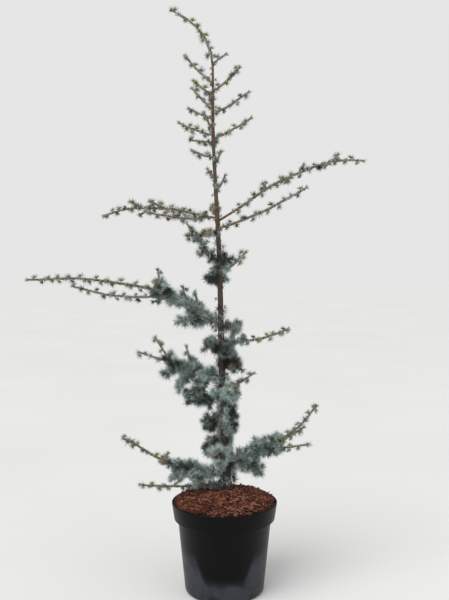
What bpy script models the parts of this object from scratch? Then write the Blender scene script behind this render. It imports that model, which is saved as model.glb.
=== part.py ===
"""A young blue cedar in a black nursery pot, as separate named solids.

Metres, +Z up. The origin is the centre of the pot's underside, on the surface that it stands on.
Bearings are degrees round the trunk: 0 is +X, 90 is +Y. Pitches are degrees above level.
"""

import math
import random
from collections import namedtuple

import bmesh
import bpy
import numpy as np
from mathutils import Matrix, Vector

# Clearance between neighbouring solids.
GAP = 0.0003

# Nursery pot of 7.5 litres: moulded wall, with a deep band round its rim.
POT_HEIGHT = 0.219
RIM_RADIUS = 0.128
RIM_ROUND = 0.0016
BAND_HEIGHT = 0.041
BAND_FOOT_RADIUS = 0.1225
BAND_LEDGE = 0.003
BODY_RADIUS = 0.1130
BASE_RADIUS = 0.0965
BASE_ROUND = 0.010
POT_WALL = 0.0022
POT_SIDES = 32
DRAIN_HOLES = 6
DRAIN_RADIUS = 0.006
DRAIN_CIRCLE = 0.074
DRAIN_SIDES = 8
DRAIN_BEARING = 18

# Potting soil, and the bark mulch mounded on it.
SOIL_TOP = 0.200
MULCH_EDGE = 0.214
MULCH_TOP = 0.240
MULCH_LUMP = 0.0018
MULCH_WAVES = ((95, 83), (141, 117))
MULCH_PHASE = 1.3
MULCH_FADE = 0.02
MOUND_POWER = 2.4
MULCH_RINGS = 5
COLLAR_RADIUS = 0.0168

# Trunk: its foot on the soil, its lean to the left with a slight sway, and the nodding leading shoot.
TRUNK_FOOT = (0.0095, 0.012, SOIL_TOP + GAP)
TRUNK_LENGTH = 1.085
TRUNK_STEP = 0.0345
TRUNK_SIDES = 9
LEADER_LENGTH = 0.158
LEAN = 2.1
SWAY = 1.1
SWAY_LENGTH = 0.6
LEAN_ENDS = (0.87, 0.97)
NOD = 62
NOD_SPAN = (1.04, 1.24)
FOOT_RADIUS = 0.0105
TOP_RADIUS = 0.0024
FLARE_RADIUS = 0.0055
FLARE_HEIGHT = 0.014
FLARE_LEVEL = 0.232

# Foliage. A dense twig is a slim core with each face drawn out to a needle; a sparse one has rosettes.
TIP_RADIUS = 0.0010
TWIG_RADIUS = 0.0017
FORK_RADIUS = 0.0019
DENSE_FORK = 0.4
STEM_SIDES = 4
TWIG_SIDES = 3
BOUGH_SIDES = 7
CORE_STEP = 0.0106
BARE_STEP = 0.024
NEEDLE_LEAN = 0.75
NEEDLE_THICKNESS = 0.0014
NEEDLE_STRAY = 0.16
NEEDLE_SPREAD = (0.85, 1.12)
SHORT_NEEDLE = 0.6
NEEDLE_ROOT = 0.35
TWIG_SPACING = 0.022
SPACING_SPREAD = (0.85, 1.15)
FIRST_TWIG = 0.4
TWIG_STRAY = 15
TWIG_LEAN = (0.5, 0.9)
TWIG_LEVELLING = 0.7
TWIG_ROOM = 0.010
TWIG_LENGTHS = (0.8, 1.15)
FAN_TAPER = 0.45
FAN_FLATNESS = 0.7
SHORTEST_TWIG = 0.016
SECOND_TRY = 0.6
BARE_ROOT = 0.009
ROSETTE_REACH = 0.0132
ROSETTE_SPACING = 0.0255
ROSETTE_NEEDLES = 3
ROSETTE_TIP = (0.82, 0.56)
ROSETTE_NOTCH = (0.24, 0.34)
ROSETTE_CROWN = 0.95
ROSETTE_BODY = (0.45, 0.6)
ROSETTE_SPREAD = (0.85, 1.1)
ROSETTE_LEAN = (0.3, 0.7)
ROSETTE_STRAY = 20
FIRST_ROSETTE = (0.4, 0.7)
LAST_ROSETTE = 0.4
ROSETTE_INSET = 0.002
GOLDEN_ANGLE = 137.5
SINK = 0.0006
SHOOT_BEND = 6
WAVE = 3.0
WAVE_RATES = (15, 11)
LAST_PHASE = 6
CLEARANCE_SPOTS = 7
SHARP_ANGLE = 42

# Vertices closer than this are one.
WELD = 0.00001

# A limb: root height above the ground, bearing, length, pitch at root, middle and tip, change of
# bearing along it, radius at the root, share that is a bare bough, share with dense needles, length of
# the side twigs there and length of the needles.
Limb = namedtuple("Limb", "height bearing length pitches turn radius bare lush fan needle")

BRANCHES = {
    "high_left": Limb(0.906, 170, 0.280, (13, 5, -22), 6, 0.0028, 0.05, 0.0, 0.0, 0.014),
    "high_right": Limb(0.898, 10, 0.394, (34, 27, -4), -8, 0.0030, 0.10, 0.0, 0.0, 0.014),
    "high_right_front": Limb(0.882, -30, 0.238, (13, 21, 31), 6, 0.0028, 0.0, 0.12, 0.0, 0.013),
    "mid_left": Limb(0.644, 172, 0.498, (42, 10, -1), 6, 0.0044, 0.045, 0.32, 0.054, 0.022),
    "mid_right": Limb(0.610, 20, 0.174, (-10, 8, 22), 0, 0.0026, 0.0, 0.34, 0.014, 0.013),
    "lower_left": Limb(0.520, 186, 0.204, (13, 18, 15), -6, 0.0036, 0.08, 0.66, 0.056, 0.023),
    "low_left": Limb(0.290, 200, 0.276, (-8, 26, 32), 4, 0.0040, 0.10, 0.60, 0.050, 0.023),
    "low_left_back": Limb(0.257, 172, 0.206, (-4, -4, 8), 4, 0.0026, 0.0, 0.42, 0.022, 0.015),
    "low_right": Limb(0.298, -10, 0.260, (27, 32, 58), 6, 0.0040, 0.08, 0.56, 0.054, 0.023),
    "low_front": Limb(0.322, 258, 0.130, (12, 20, 30), 0, 0.0030, 0.0, 0.80, 0.036, 0.022),
    "low_back": Limb(0.349, 88, 0.235, (20, 24, 30), 6, 0.0036, 0.14, 0.60, 0.040, 0.022),
    "mid_back": Limb(0.548, 76, 0.170, (12, 18, 24), 8, 0.0030, 0.0, 0.60, 0.030, 0.020),
    "mid_front": Limb(0.478, 284, 0.120, (8, 16, 24), 0, 0.0028, 0.0, 0.80, 0.034, 0.021),
    "upper_back": Limb(0.750, 94, 0.235, (4, 10, 2), -6, 0.0036, 0.14, 0.50, 0.028, 0.018),
    "high_back": Limb(0.919, 92, 0.190, (14, 8, -6), 6, 0.0028, 0.0, 0.10, 0.0, 0.013),
    "high_front": Limb(0.868, 254, 0.120, (2, 0, -12), 0, 0.0026, 0.0, 0.20, 0.0, 0.013),
    "rising_left": Limb(0.782, 204, 0.132, (66, 46, 66), -6, 0.0028, 0.0, 0.85, 0.026, 0.017),
    "small_right_high": Limb(0.776, 20, 0.078, (10, 40, 44), 0, 0.0022, 0.0, 0.20, 0.0, 0.014),
    "small_right_low": Limb(0.490, 16, 0.080, (6, 26, 34), 0, 0.0022, 0.0, 0.20, 0.0, 0.016),
}

# A fork of a branch: the share of the branch where it leaves, and its own bearing, length, pitches
# and share with dense needles.
Fork = namedtuple("Fork", "branch at bearing length pitches lush")

FORKS = [
    Fork("mid_left", 0.31, 188, 0.226, (-12, 6, 18), 0.12),
    Fork("mid_left", 0.33, 160, 0.054, (74, 78, 80), 0.45),
    Fork("mid_left", 0.12, 150, 0.050, (66, 74, 78), 0.0),
    Fork("mid_left", 0.19, 196, 0.044, (62, 70, 76), 0.0),
    Fork("mid_left", 0.27, 200, 0.052, (-8, -14, -16), 0.0),
    Fork("mid_left", 0.30, 172, 0.046, (44, 38, 32), 0.0),
    Fork("mid_left", 0.10, 198, 0.062, (-22, -14, -8), 1.0),
    Fork("mid_left", 0.055, 184, 0.046, (-14, -4, 4), 1.0),
    Fork("high_left", 0.07, 190, 0.156, (-14, 6, 12), 0.0),
    Fork("high_left", 0.46, 200, 0.040, (22, 24, 24), 0.0),
    Fork("high_left", 0.58, 150, 0.036, (-22, -20, -18), 0.0),
    Fork("high_left", 0.66, 196, 0.032, (26, 24, 22), 0.0),
    Fork("high_right", 0.33, 50, 0.028, (52, 50, 46), 0.0),
    Fork("high_right", 0.45, -30, 0.034, (10, 12, 14), 0.0),
    Fork("high_right", 0.58, 40, 0.028, (58, 52, 46), 0.0),
    Fork("high_right", 0.69, -28, 0.040, (0, 8, 14), 0.0),
    Fork("high_right", 0.81, 34, 0.024, (50, 44, 40), 0.0),
    Fork("lower_left", 0.62, 176, 0.068, (60, 60, 58), 0.10),
    Fork("lower_left", 0.34, 160, 0.058, (62, 74, 78), 0.30),
    Fork("lower_left", 0.14, 190, 0.076, (-58, -44, -30), 1.0),
    Fork("lower_left", 0.32, 196, 0.060, (-34, -44, -40), 1.0),
    Fork("lower_left", 0.50, 176, 0.044, (-24, -30, -30), 1.0),
    Fork("low_left", 0.13, 168, 0.090, (12, 8, 20), 1.0),
    Fork("low_left", 0.36, 190, 0.046, (-34, -28, -20), 1.0),
    Fork("low_right", 0.52, 8, 0.074, (24, 28, 32), 0.15),
    Fork("low_right", 0.42, -26, 0.108, (4, 10, 16), 0.25),
    Fork("low_right", 0.13, 16, 0.078, (52, 36, 26), 1.0),
    Fork("low_right", 0.13, -14, 0.056, (-34, -22, -8), 1.0),
]

# A short shoot: root height, bearing, length and pitch.
Shoot = namedtuple("Shoot", "height bearing length pitch")

# Sparse shoots on the upper trunk, from the top down.
UPPER = [
    Shoot(1.276, 12, 0.036, 36),
    Shoot(1.226, 172, 0.092, 45),
    Shoot(1.208, -12, 0.080, 40),
    Shoot(1.198, 196, 0.054, 38),
    Shoot(1.180, 100, 0.052, 34),
    Shoot(1.164, 164, 0.072, 45),
    Shoot(1.154, 10, 0.100, 33),
    Shoot(1.142, 190, 0.058, 24),
    Shoot(1.112, 238, 0.048, 50),
    Shoot(1.104, 168, 0.086, 21),
    Shoot(1.096, -8, 0.098, 27),
    Shoot(1.076, 84, 0.050, 30),
    Shoot(1.088, 200, 0.052, 2),
    Shoot(1.050, 176, 0.052, 20),
    Shoot(1.034, 300, 0.036, 40),
    Shoot(0.998, 140, 0.032, 50),
    Shoot(0.968, 312, 0.046, 48),
]
UPPER_RADIUS = 0.0016

# Dense short shoots close round the lower trunk.
INNER = [
    Shoot(0.800, 300, 0.026, 6),
    Shoot(0.792, 200, 0.036, -50),
    Shoot(0.646, 4, 0.034, -4),
    Shoot(0.606, 204, 0.026, 8),
    Shoot(0.580, 258, 0.046, 20),
    Shoot(0.552, -20, 0.036, 4),
    Shoot(0.478, 196, 0.062, -10),
    Shoot(0.434, -50, 0.026, 8),
    Shoot(0.432, 182, 0.044, -40),
    Shoot(0.388, 60, 0.024, 20),
    Shoot(0.376, 170, 0.044, -34),
]
INNER_RADIUS = 0.0022
INNER_FAN = 0.034
INNER_NEEDLE = 0.022

COLORS = {
    "pot": ((0.012, 0.012, 0.013), 0.40),
    "soil": ((0.020, 0.012, 0.008), 0.95),
    "mulch": ((0.130, 0.045, 0.022), 0.90),
    "bark": ((0.150, 0.085, 0.055), 0.85),
    "needles": ((0.110, 0.165, 0.165), 0.60),
}


def clear_scene():
    """Removes whatever the file opened with."""
    for thing in list(bpy.data.objects):
        bpy.data.objects.remove(thing, do_unlink=True)


def make_collection(name):
    """A new collection in the scene."""
    made = bpy.data.collections.new(name)
    bpy.context.scene.collection.children.link(made)
    return made


def make_materials():
    """One Principled material for each kind of surface."""
    made = {}
    for name, (color, roughness) in COLORS.items():
        material = bpy.data.materials.new(name)
        material.use_nodes = True
        shader = material.node_tree.nodes["Principled BSDF"]
        shader.inputs["Base Color"].default_value = (*color, 1.0)
        shader.inputs["Roughness"].default_value = roughness
        material.diffuse_color = (*color, 1.0)
        made[name] = material
    return made


def place(name, mesh, collection, material=None):
    """A mesh object in a collection, with its material."""
    thing = bpy.data.objects.new(name, mesh)
    collection.objects.link(thing)
    if material:
        mesh.materials.clear()
        mesh.materials.append(material)
    return thing


def from_bmesh(name, work):
    """A mesh made from a finished bmesh."""
    mesh = bpy.data.meshes.new(name)
    work.to_mesh(mesh)
    work.free()
    return mesh


def as_mesh(thing, collection, material=None):
    """Turns a curve or an object with modifiers into a plain mesh object with its seams welded."""
    name = thing.name
    bpy.context.view_layer.update()
    graph = bpy.context.evaluated_depsgraph_get()
    mesh = bpy.data.meshes.new_from_object(thing.evaluated_get(graph), depsgraph=graph)
    mesh.transform(thing.matrix_world)
    bpy.data.objects.remove(thing, do_unlink=True)
    work = bmesh.new()
    work.from_mesh(mesh)
    bmesh.ops.remove_doubles(work, verts=work.verts, dist=WELD)
    bmesh.ops.recalc_face_normals(work, faces=work.faces)
    work.to_mesh(mesh)
    work.free()
    return place(name, mesh, collection, material)


def as_guide(thing):
    """Marks an object as a cutter or guide that isn't part of the model."""
    thing.hide_render = True
    thing.display_type = "WIRE"
    return thing


def cut_away(thing, cutter):
    """Cuts one object by another."""
    modifier = thing.modifiers.new("cut", "BOOLEAN")
    modifier.operation = "DIFFERENCE"
    modifier.object = cutter


def heading(bearing, pitch):
    """Unit vector at a bearing round the trunk and a pitch above level, both in degrees."""
    turn, rise = math.radians(bearing), math.radians(pitch)
    return Vector((math.cos(turn) * math.cos(rise), math.sin(turn) * math.cos(rise), math.sin(rise)))


def smooth_step(value, start, end):
    """0 up to the start, 1 from the end, and an S curve between."""
    share = min(1.0, max(0.0, (value - start) / (end - start)))
    return share * share * (3 - 2 * share)


def through_three(values, share):
    """The parabola through three values at 0, a half and 1."""
    first, middle, last = values
    near = first * (1 - share) * (1 - 2 * share)
    return near + 4 * middle * share * (1 - share) + last * share * (2 * share - 1)


def trunk_line():
    """Centre points of the trunk and of the leading shoot that goes on from it."""
    points = [Vector(TRUNK_FOOT)]
    for i in range(math.ceil((TRUNK_LENGTH + LEADER_LENGTH) / TRUNK_STEP)):
        along = (i + 0.5) * TRUNK_STEP
        phase = math.tau * along / SWAY_LENGTH
        straight = 1 - smooth_step(along, *LEAN_ENDS)
        tilt = (LEAN + SWAY * math.cos(phase - math.pi / 2)) * straight
        tilt = math.radians(tilt + NOD * smooth_step(along, *NOD_SPAN))
        aside = math.radians(SWAY * math.cos(phase) * straight)
        points.append(points[-1] + TRUNK_STEP * Vector((-math.sin(tilt), math.sin(aside), math.cos(tilt))))
    return points


def trunk_radius(height):
    """Radius of the trunk at a height, with its flare at the mulch."""
    share = min(1.0, (height - TRUNK_FOOT[2]) / TRUNK_LENGTH)
    taper = TOP_RADIUS + (FOOT_RADIUS - TOP_RADIUS) * (1 - share)
    return taper + FLARE_RADIUS * min(1.0, math.exp((FLARE_LEVEL - height) / FLARE_HEIGHT))


def trunk_point(height):
    """The trunk's centre at a height."""
    for low, high in zip(TRUNK_LINE, TRUNK_LINE[1:]):
        if low.z <= height <= high.z:
            return low.lerp(high, (height - low.z) / (high.z - low.z))
    raise ValueError(f"the trunk doesn't reach {height} m")


def limb_line(start, bearing, length, pitches, turn, phase, step):
    """Points of a limb whose pitch runs through three values while its bearing turns, with a wave."""
    steps = max(2, round(length / step))
    points = [Vector(start)]
    for i in range(steps):
        share = (i + 0.5) / steps
        pitch = through_three(pitches, share) + WAVE * math.sin(phase + WAVE_RATES[0] * share)
        aim = bearing + turn * share + WAVE * math.cos(phase + WAVE_RATES[1] * share)
        points.append(points[-1] + heading(aim, pitch) * (length / steps))
    return points


def marks_of(line):
    """Distance from the start to each point of a line."""
    found = [0.0]
    for a, b in zip(line, line[1:]):
        found.append(found[-1] + (b - a).length)
    return found


def along_line(line, distance):
    """The point and the direction at a distance along a line."""
    marks = marks_of(line)
    distance = min(max(distance, 0.0), marks[-1])
    i = next(i for i in range(len(line) - 1) if distance <= marks[i + 1] or i == len(line) - 2)
    share = (distance - marks[i]) / (marks[i + 1] - marks[i])
    return line[i].lerp(line[i + 1], share), (line[i + 1] - line[i]).normalized()


def nearest_mark(line, point):
    """How far along a line its nearest place to a point is."""
    best = (1.0, 0.0)
    for a, b, mark in zip(line, line[1:], marks_of(line)):
        share = min(1.0, max(0.0, (point - a).dot(b - a) / (b - a).length_squared))
        best = min(best, ((a.lerp(b, share) - point).length, mark + share * (b - a).length))
    return best[1]


def cut_line(line, start, end):
    """The stretch of a line between two distances along it."""
    inner = [p for p, m in zip(line, marks_of(line)) if start + GAP < m < end - GAP]
    return [along_line(line, start)[0], *inner, along_line(line, end)[0]]


def resample(line, start, end, step):
    """Points at even steps along a stretch of a line."""
    count = max(1, round((end - start) / step))
    return [along_line(line, start + (end - start) * i / count)[0] for i in range(count + 1)]


def tapered(line, first, last):
    """A radius for each point of a line, from the first to the last."""
    marks = marks_of(line)
    return [first + (last - first) * m / marks[-1] for m in marks]


def tube(name, line, radii, sides, collection, material=None):
    """A closed tapering tube along a line, with flat facets."""
    curve = bpy.data.curves.new(name, "CURVE")
    curve.dimensions = "3D"
    curve.bevel_mode = "OBJECT"
    curve.bevel_object = section(sides)
    curve.use_fill_caps = True
    spline = curve.splines.new("POLY")
    spline.points.add(len(line) - 1)
    for point, spot, radius in zip(spline.points, line, radii):
        point.co = (*spot, 1)
        point.radius = radius
    thing = bpy.data.objects.new(name, curve)
    collection.objects.link(thing)
    return as_mesh(thing, collection, material)


def section(sides):
    """The cross-section of a tube: a closed curve with its corners at unit radius."""
    name = f"section_{sides}"
    if name in bpy.data.objects:
        return bpy.data.objects[name]
    curve = bpy.data.curves.new(name, "CURVE")
    spline = curve.splines.new("POLY")
    spline.points.add(sides - 1)
    spline.use_cyclic_u = True
    for i, point in enumerate(spline.points):
        angle = math.tau * i / sides
        point.co = (math.cos(angle), math.sin(angle), 0, 1)
    ring = as_guide(bpy.data.objects.new(name, curve))
    GUIDES.objects.link(ring)
    return ring


class Space:
    """The room that is taken, as capsules, each marked with its mass and its twig."""

    def __init__(self, size=20000):
        self.starts = np.zeros((size, 3))
        self.ends = np.zeros((size, 3))
        self.radii = np.zeros(size)
        self.masses = np.zeros(size, int)
        self.twigs = np.zeros(size, int)
        self.names = {}
        self.count = 0

    def number(self, mass):
        return self.names.setdefault(mass, len(self.names))

    def add(self, mass, twig, start, end, radius):
        i = self.count
        self.starts[i], self.ends[i], self.radii[i] = start, end, radius
        self.masses[i], self.twigs[i] = self.number(mass), twig
        self.count += 1

    def add_line(self, mass, twig, line, radii):
        for a, b, radius in zip(line, line[1:], radii):
            self.add(mass, twig, a, b, radius)

    def clear(self, mass, twig, start, end, radius):
        """Whether a capsule keeps its gap to other masses and doesn't cross other twigs of its own."""
        n = self.count
        spots = np.linspace(np.array(start), np.array(end), CLEARANCE_SPOTS)[:, None, :]
        a, run = self.starts[:n], self.ends[:n] - self.starts[:n]
        share = ((spots - a) * run).sum(2) / np.maximum((run * run).sum(1), 1e-12)
        nearest = a + np.clip(share, 0, 1)[..., None] * run
        room = np.linalg.norm(spots - nearest, axis=2).min(0) - self.radii[:n] - radius
        own = self.masses[:n] == self.number(mass)
        others_clear = room[~own].min(initial=1) > 2 * GAP
        return others_clear and room[own & (self.twigs[:n] != twig)].min(initial=1) > 0


# One twig of a mass: its number, line, radii, the stretch with dense needles, and its cross-section.
Twig = namedtuple("Twig", "number line radii lush_from lush_to sides")
# What grows into one node.
Mass = namedtuple("Mass", "name limb twigs")


def above_mulch(point, room=0.004):
    """Whether a point is above the mulch and the pot's rim."""
    return point.z > mulch_height(point.x, point.y) + room or math.hypot(*point.xy) > RIM_RADIUS + room


def draw_needles(thing, mass, twig, dice):
    """Draws each face of a twig's dense stretch out to a needle, where there is room for it."""
    work = bmesh.new()
    work.from_mesh(thing.data)
    work.faces.ensure_lookup_table()
    for face in list(work.faces):
        middle = face.calc_center_median()
        mark = nearest_mark(twig.line, middle)
        ahead = along_line(twig.line, mark)[1]
        if not twig.lush_from < mark < twig.lush_to:
            continue
        end_face = face.normal.dot(ahead) > NEEDLE_LEAN
        lean = 0.0 if end_face else NEEDLE_LEAN
        stray = Vector([dice.uniform(-NEEDLE_STRAY, NEEDLE_STRAY) for _ in range(3)])
        aim = (face.normal + ahead * lean + stray).normalized()
        reach = mass.limb.needle * dice.uniform(*NEEDLE_SPREAD)
        for length in (reach, reach * SHORT_NEEDLE):
            tip = middle + aim * length
            near = middle + aim * length * NEEDLE_ROOT
            if above_mulch(tip) and SPACE.clear(mass.name, twig.number, near, tip, NEEDLE_THICKNESS):
                SPACE.add(mass.name, twig.number, near, tip, NEEDLE_THICKNESS)
                drawn = bmesh.ops.poke(work, faces=[face])["verts"][0]
                drawn.co = tip
                break
    work.to_mesh(thing.data)
    work.free()


def rosette_mesh(name, root, axis, reach, spin):
    """A rosette: a cone standing on its point in the twig, its rim cut in between the needles."""
    work = bmesh.new()
    rim = 2 * ROSETTE_NEEDLES
    bmesh.ops.create_cone(work, cap_ends=True, segments=rim, radius1=0, radius2=1, depth=1)
    bmesh.ops.remove_doubles(work, verts=work.verts, dist=WELD)
    bmesh.ops.translate(work, verts=work.verts, vec=(0, 0, 0.5))
    corners = sorted((v for v in work.verts if v.co.z > 0.5), key=lambda v: math.atan2(v.co.y, v.co.x))
    for i, corner in enumerate(corners):
        wide, high = ROSETTE_NOTCH if i % 2 else ROSETTE_TIP
        corner.co = Vector((corner.co.x * wide, corner.co.y * wide, high)) * reach
    top = max(work.faces, key=lambda f: len(f.verts))
    bmesh.ops.poke(work, faces=[top])["verts"][0].co = (0, 0, ROSETTE_CROWN * reach)
    turn = axis.to_track_quat("Z", "Y").to_matrix().to_4x4() @ Matrix.Rotation(spin, 4, "Z")
    bmesh.ops.transform(work, verts=work.verts, matrix=Matrix.Translation(root - axis * SINK) @ turn)
    bmesh.ops.recalc_face_normals(work, faces=work.faces)
    return from_bmesh(name, work)


def rosettes_on(mass, twig, pieces, dice):
    """Small rosettes on a twig past its dense stretch, on all sides by turns, and one at its tip."""
    whole = marks_of(twig.line)[-1]
    distance = twig.lush_to + ROSETTE_SPACING * dice.uniform(*FIRST_ROSETTE)
    count = dice.randrange(8)
    while distance < whole + ROSETTE_SPACING:
        last = distance > whole - ROSETTE_SPACING * LAST_ROSETTE
        point, ahead = along_line(twig.line, whole - ROSETTE_INSET if last else distance)
        side = ahead.orthogonal().normalized()
        angle = math.radians(GOLDEN_ANGLE * count + dice.uniform(-ROSETTE_STRAY, ROSETTE_STRAY))
        out = side * math.cos(angle) + ahead.cross(side) * math.sin(angle)
        axis = ahead if last else (out + ahead * dice.uniform(*ROSETTE_LEAN)).normalized()
        reach = ROSETTE_REACH * dice.uniform(*ROSETTE_SPREAD)
        near, far = (point + axis * reach * share for share in ROSETTE_BODY)
        wide = reach * ROSETTE_BODY[1]
        if above_mulch(far, reach) and SPACE.clear(mass.name, twig.number, near, far, wide):
            SPACE.add(mass.name, twig.number, near, far, wide)
            mesh = rosette_mesh("rosette", point, axis, reach, dice.uniform(0, math.tau))
            place("rosette", mesh, pieces)
        if last:
            break
        distance += ROSETTE_SPACING * dice.uniform(*SPACING_SPREAD)
        count += 1


def stem_of(limb, line):
    """A limb's foliage-bearing stem: short steps where its needles are dense, long ones beyond."""
    whole = marks_of(line)[-1]
    start = limb.bare * whole + GAP if limb.bare else 0.0
    dense_to = max(limb.lush * whole, start)
    points = [along_line(line, start)[0]]
    if dense_to - start > CORE_STEP:
        points = resample(line, start, dense_to, CORE_STEP)
    if whole - dense_to > BARE_STEP / 2:
        points = points[:-1] + resample(line, dense_to, whole, BARE_STEP)
    radii = [limb.radius + (TIP_RADIUS - limb.radius) * (start + m) / whole for m in marks_of(points)]
    first = BARE_ROOT if limb.bare else trunk_radius(limb.height) + BARE_ROOT
    lush_to = dense_to - start if dense_to < whole else whole + GAP
    return Twig(0, points, radii, first, max(first, lush_to), STEM_SIDES)


def limb_of(shoot, radius, lush, fan, needle):
    """A short shoot, written as a limb with no bare part."""
    pitches = (shoot.pitch - SHOOT_BEND, shoot.pitch, shoot.pitch + SHOOT_BEND)
    return Limb(shoot.height, shoot.bearing, shoot.length, pitches, 0, radius, 0.0, lush, fan, needle)


def all_limbs():
    """Every limb by name: the long branches first, then the short shoots."""
    limbs = dict(BRANCHES)
    for i, shoot in enumerate(INNER):
        limbs[f"inner_{i + 1:02d}"] = limb_of(shoot, INNER_RADIUS, 1.0, INNER_FAN, INNER_NEEDLE)
    for i, shoot in enumerate(UPPER):
        limbs[f"shoot_{i + 1:02d}"] = limb_of(shoot, UPPER_RADIUS, 0.0, 0.0, ROSETTE_REACH)
    return limbs


def limb_path(name, limb):
    """The centre line of a limb, from the trunk's axis to its tip."""
    phase = random.Random(name).uniform(0, LAST_PHASE)
    root = trunk_point(limb.height)
    length = limb.length + trunk_radius(limb.height)
    return limb_line(root, limb.bearing, length, limb.pitches, limb.turn, phase, BARE_STEP)


def lay_fork(mass, line, fork):
    """A named fork of a branch, as a twig of its mass."""
    start = along_line(line, fork.at * marks_of(line)[-1])[0]
    phase = random.Random(f"{fork.branch} {fork.bearing}").uniform(0, LAST_PHASE)
    step = CORE_STEP if fork.lush > DENSE_FORK else BARE_STEP
    path = limb_line(start, fork.bearing, fork.length, fork.pitches, 0, phase, step)
    radii = tapered(path, FORK_RADIUS, TIP_RADIUS)
    number = len(mass.twigs)
    SPACE.add_line(mass.name, number, cut_line(path, BARE_ROOT, fork.length), radii)
    twig = Twig(number, path, radii, BARE_ROOT, max(BARE_ROOT, fork.lush * fork.length), TWIG_SIDES)
    mass.twigs.append(twig)


def lay_side_twigs(mass):
    """Twigs on a stem's dense stretch, all round it by turns and shorter towards its end."""
    stem = mass.twigs[0]
    dice = random.Random(mass.name)
    distance, count = stem.lush_from + TWIG_SPACING * FIRST_TWIG, dice.randrange(8)
    end = min(stem.lush_to, marks_of(stem.line)[-1])
    while mass.limb.fan and distance < end:
        point, ahead = along_line(stem.line, distance)
        side = ahead.orthogonal().normalized()
        angle = math.radians(GOLDEN_ANGLE * count + dice.uniform(-TWIG_STRAY, TWIG_STRAY))
        out = side * math.cos(angle) + ahead.cross(side) * math.sin(angle)
        aim = (out + ahead * dice.uniform(*TWIG_LEAN)).normalized()
        bearing, pitch = math.degrees(math.atan2(aim.y, aim.x)), math.degrees(math.asin(aim.z))
        length = mass.limb.fan * (1 - FAN_TAPER * distance / end) * dice.uniform(*TWIG_LENGTHS)
        length = max(SHORTEST_TWIG, length * (1 - FAN_FLATNESS * abs(aim.z)))
        pitches = (pitch, pitch, pitch * TWIG_LEVELLING)
        path = limb_line(point, bearing, length, pitches, 0, distance, CORE_STEP)
        if not lay_twig(mass, path):
            straight = (pitch, pitch, pitch)
            path = limb_line(point, bearing, length * SECOND_TRY, straight, 0, distance, CORE_STEP)
            lay_twig(mass, path)
        distance += TWIG_SPACING * dice.uniform(*SPACING_SPREAD)
        count += 1


def lay_twig(mass, path):
    """Adds a dense twig to a mass where its line is clear of everything else."""
    number = len(mass.twigs)
    free = cut_line(path, BARE_ROOT, marks_of(path)[-1])
    room = TWIG_RADIUS + NEEDLE_THICKNESS
    for a, b in zip(free, free[1:]):
        if not (above_mulch(b, TWIG_ROOM) and SPACE.clear(mass.name, number, a, b, room)):
            return False
    SPACE.add_line(mass.name, number, free, [TWIG_RADIUS] * len(free))
    radii = tapered(path, TWIG_RADIUS, TIP_RADIUS)
    whole = marks_of(path)[-1]
    mass.twigs.append(Twig(number, path, radii, BARE_ROOT, whole + GAP, TWIG_SIDES))
    return True


def lay_limbs(limbs):
    """Lays every bough and stem, then forks and side twigs, before any needle is placed."""
    masses, boughs, lines = [], [], {}
    for name, limb in limbs.items():
        line = lines[name] = limb_path(name, limb)
        stem = stem_of(limb, line)
        masses.append(Mass(name, limb, [stem]))
        if limb.bare:
            bough = cut_line(line, 0, limb.bare * marks_of(line)[-1])
            radii = tapered(bough, limb.radius, stem.radii[0])
            boughs.append((f"bough_{name}", bough, radii))
            SPACE.add_line(f"bough_{name}", 0, bough, radii)
            SPACE.add_line(name, 0, stem.line, stem.radii)
        else:
            clear = cut_line(stem.line, trunk_radius(limb.height), marks_of(stem.line)[-1])
            SPACE.add_line(name, 0, clear, [limb.radius] * len(clear))
    for mass in masses:
        for fork in FORKS:
            if fork.branch == mass.name:
                lay_fork(mass, lines[mass.name], fork)
    for mass in masses:
        lay_side_twigs(mass)
    return masses, boughs


def leader_mass():
    """The leading shoot, which goes on from the trunk's tip and nods to the left."""
    line = cut_line(TRUNK_LINE, TRUNK_LENGTH + GAP, TRUNK_LENGTH + LEADER_LENGTH)
    radii = tapered(line, TOP_RADIUS, TIP_RADIUS)
    SPACE.add_line("leader", 0, line, radii)
    limb = Limb(TRUNK_LENGTH, 0, LEADER_LENGTH, (0, 0, 0), 0, TOP_RADIUS, 1.0, 0.0, 0.0, ROSETTE_REACH)
    return Mass("leader", limb, [Twig(0, line, radii, 0.0, 0.0, STEM_SIDES)])


def make_mass(mass, cutter, material):
    """One node of foliage: a stem with its twigs and rosettes fused to it."""
    dice = random.Random(mass.name + " needles")
    pieces = make_collection(mass.name + "_pieces")
    stem = mass.twigs[0]
    node = tube("needles_" + mass.name, stem.line, stem.radii, stem.sides, PARTS, material)
    draw_needles(node, mass, stem, dice)
    for twig in mass.twigs[1:]:
        piece = tube(f"{mass.name}_twig_{twig.number}", twig.line, twig.radii, twig.sides, pieces)
        draw_needles(piece, mass, twig, dice)
    for twig in mass.twigs:
        if twig.lush_to < marks_of(twig.line)[-1]:
            rosettes_on(mass, twig, pieces, dice)
    if pieces.objects:
        union = node.modifiers.new("join", "BOOLEAN")
        union.operation = "UNION"
        union.operand_type = "COLLECTION"
        union.collection = pieces
    if not mass.limb.bare:
        cut_away(node, cutter)
    as_mesh(node, PARTS, material)
    for piece in list(pieces.objects):
        bpy.data.objects.remove(piece, do_unlink=True)
    bpy.data.collections.remove(pieces)


def turned(name, profile, collection, material):
    """A solid of revolution about Z from a closed profile of (radius, height) points on the axis."""
    mesh = bpy.data.meshes.new(name)
    edges = [(i, i + 1) for i in range(len(profile) - 1)]
    mesh.from_pydata([(radius, 0, height) for radius, height in profile], edges, [])
    thing = place(name, mesh, collection, material)
    screw = thing.modifiers.new("turn", "SCREW")
    screw.steps = screw.render_steps = POT_SIDES
    screw.use_merge_vertices = True
    screw.merge_threshold = 0.00005
    screw.use_smooth_shade = False
    return as_mesh(thing, collection, material)


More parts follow.
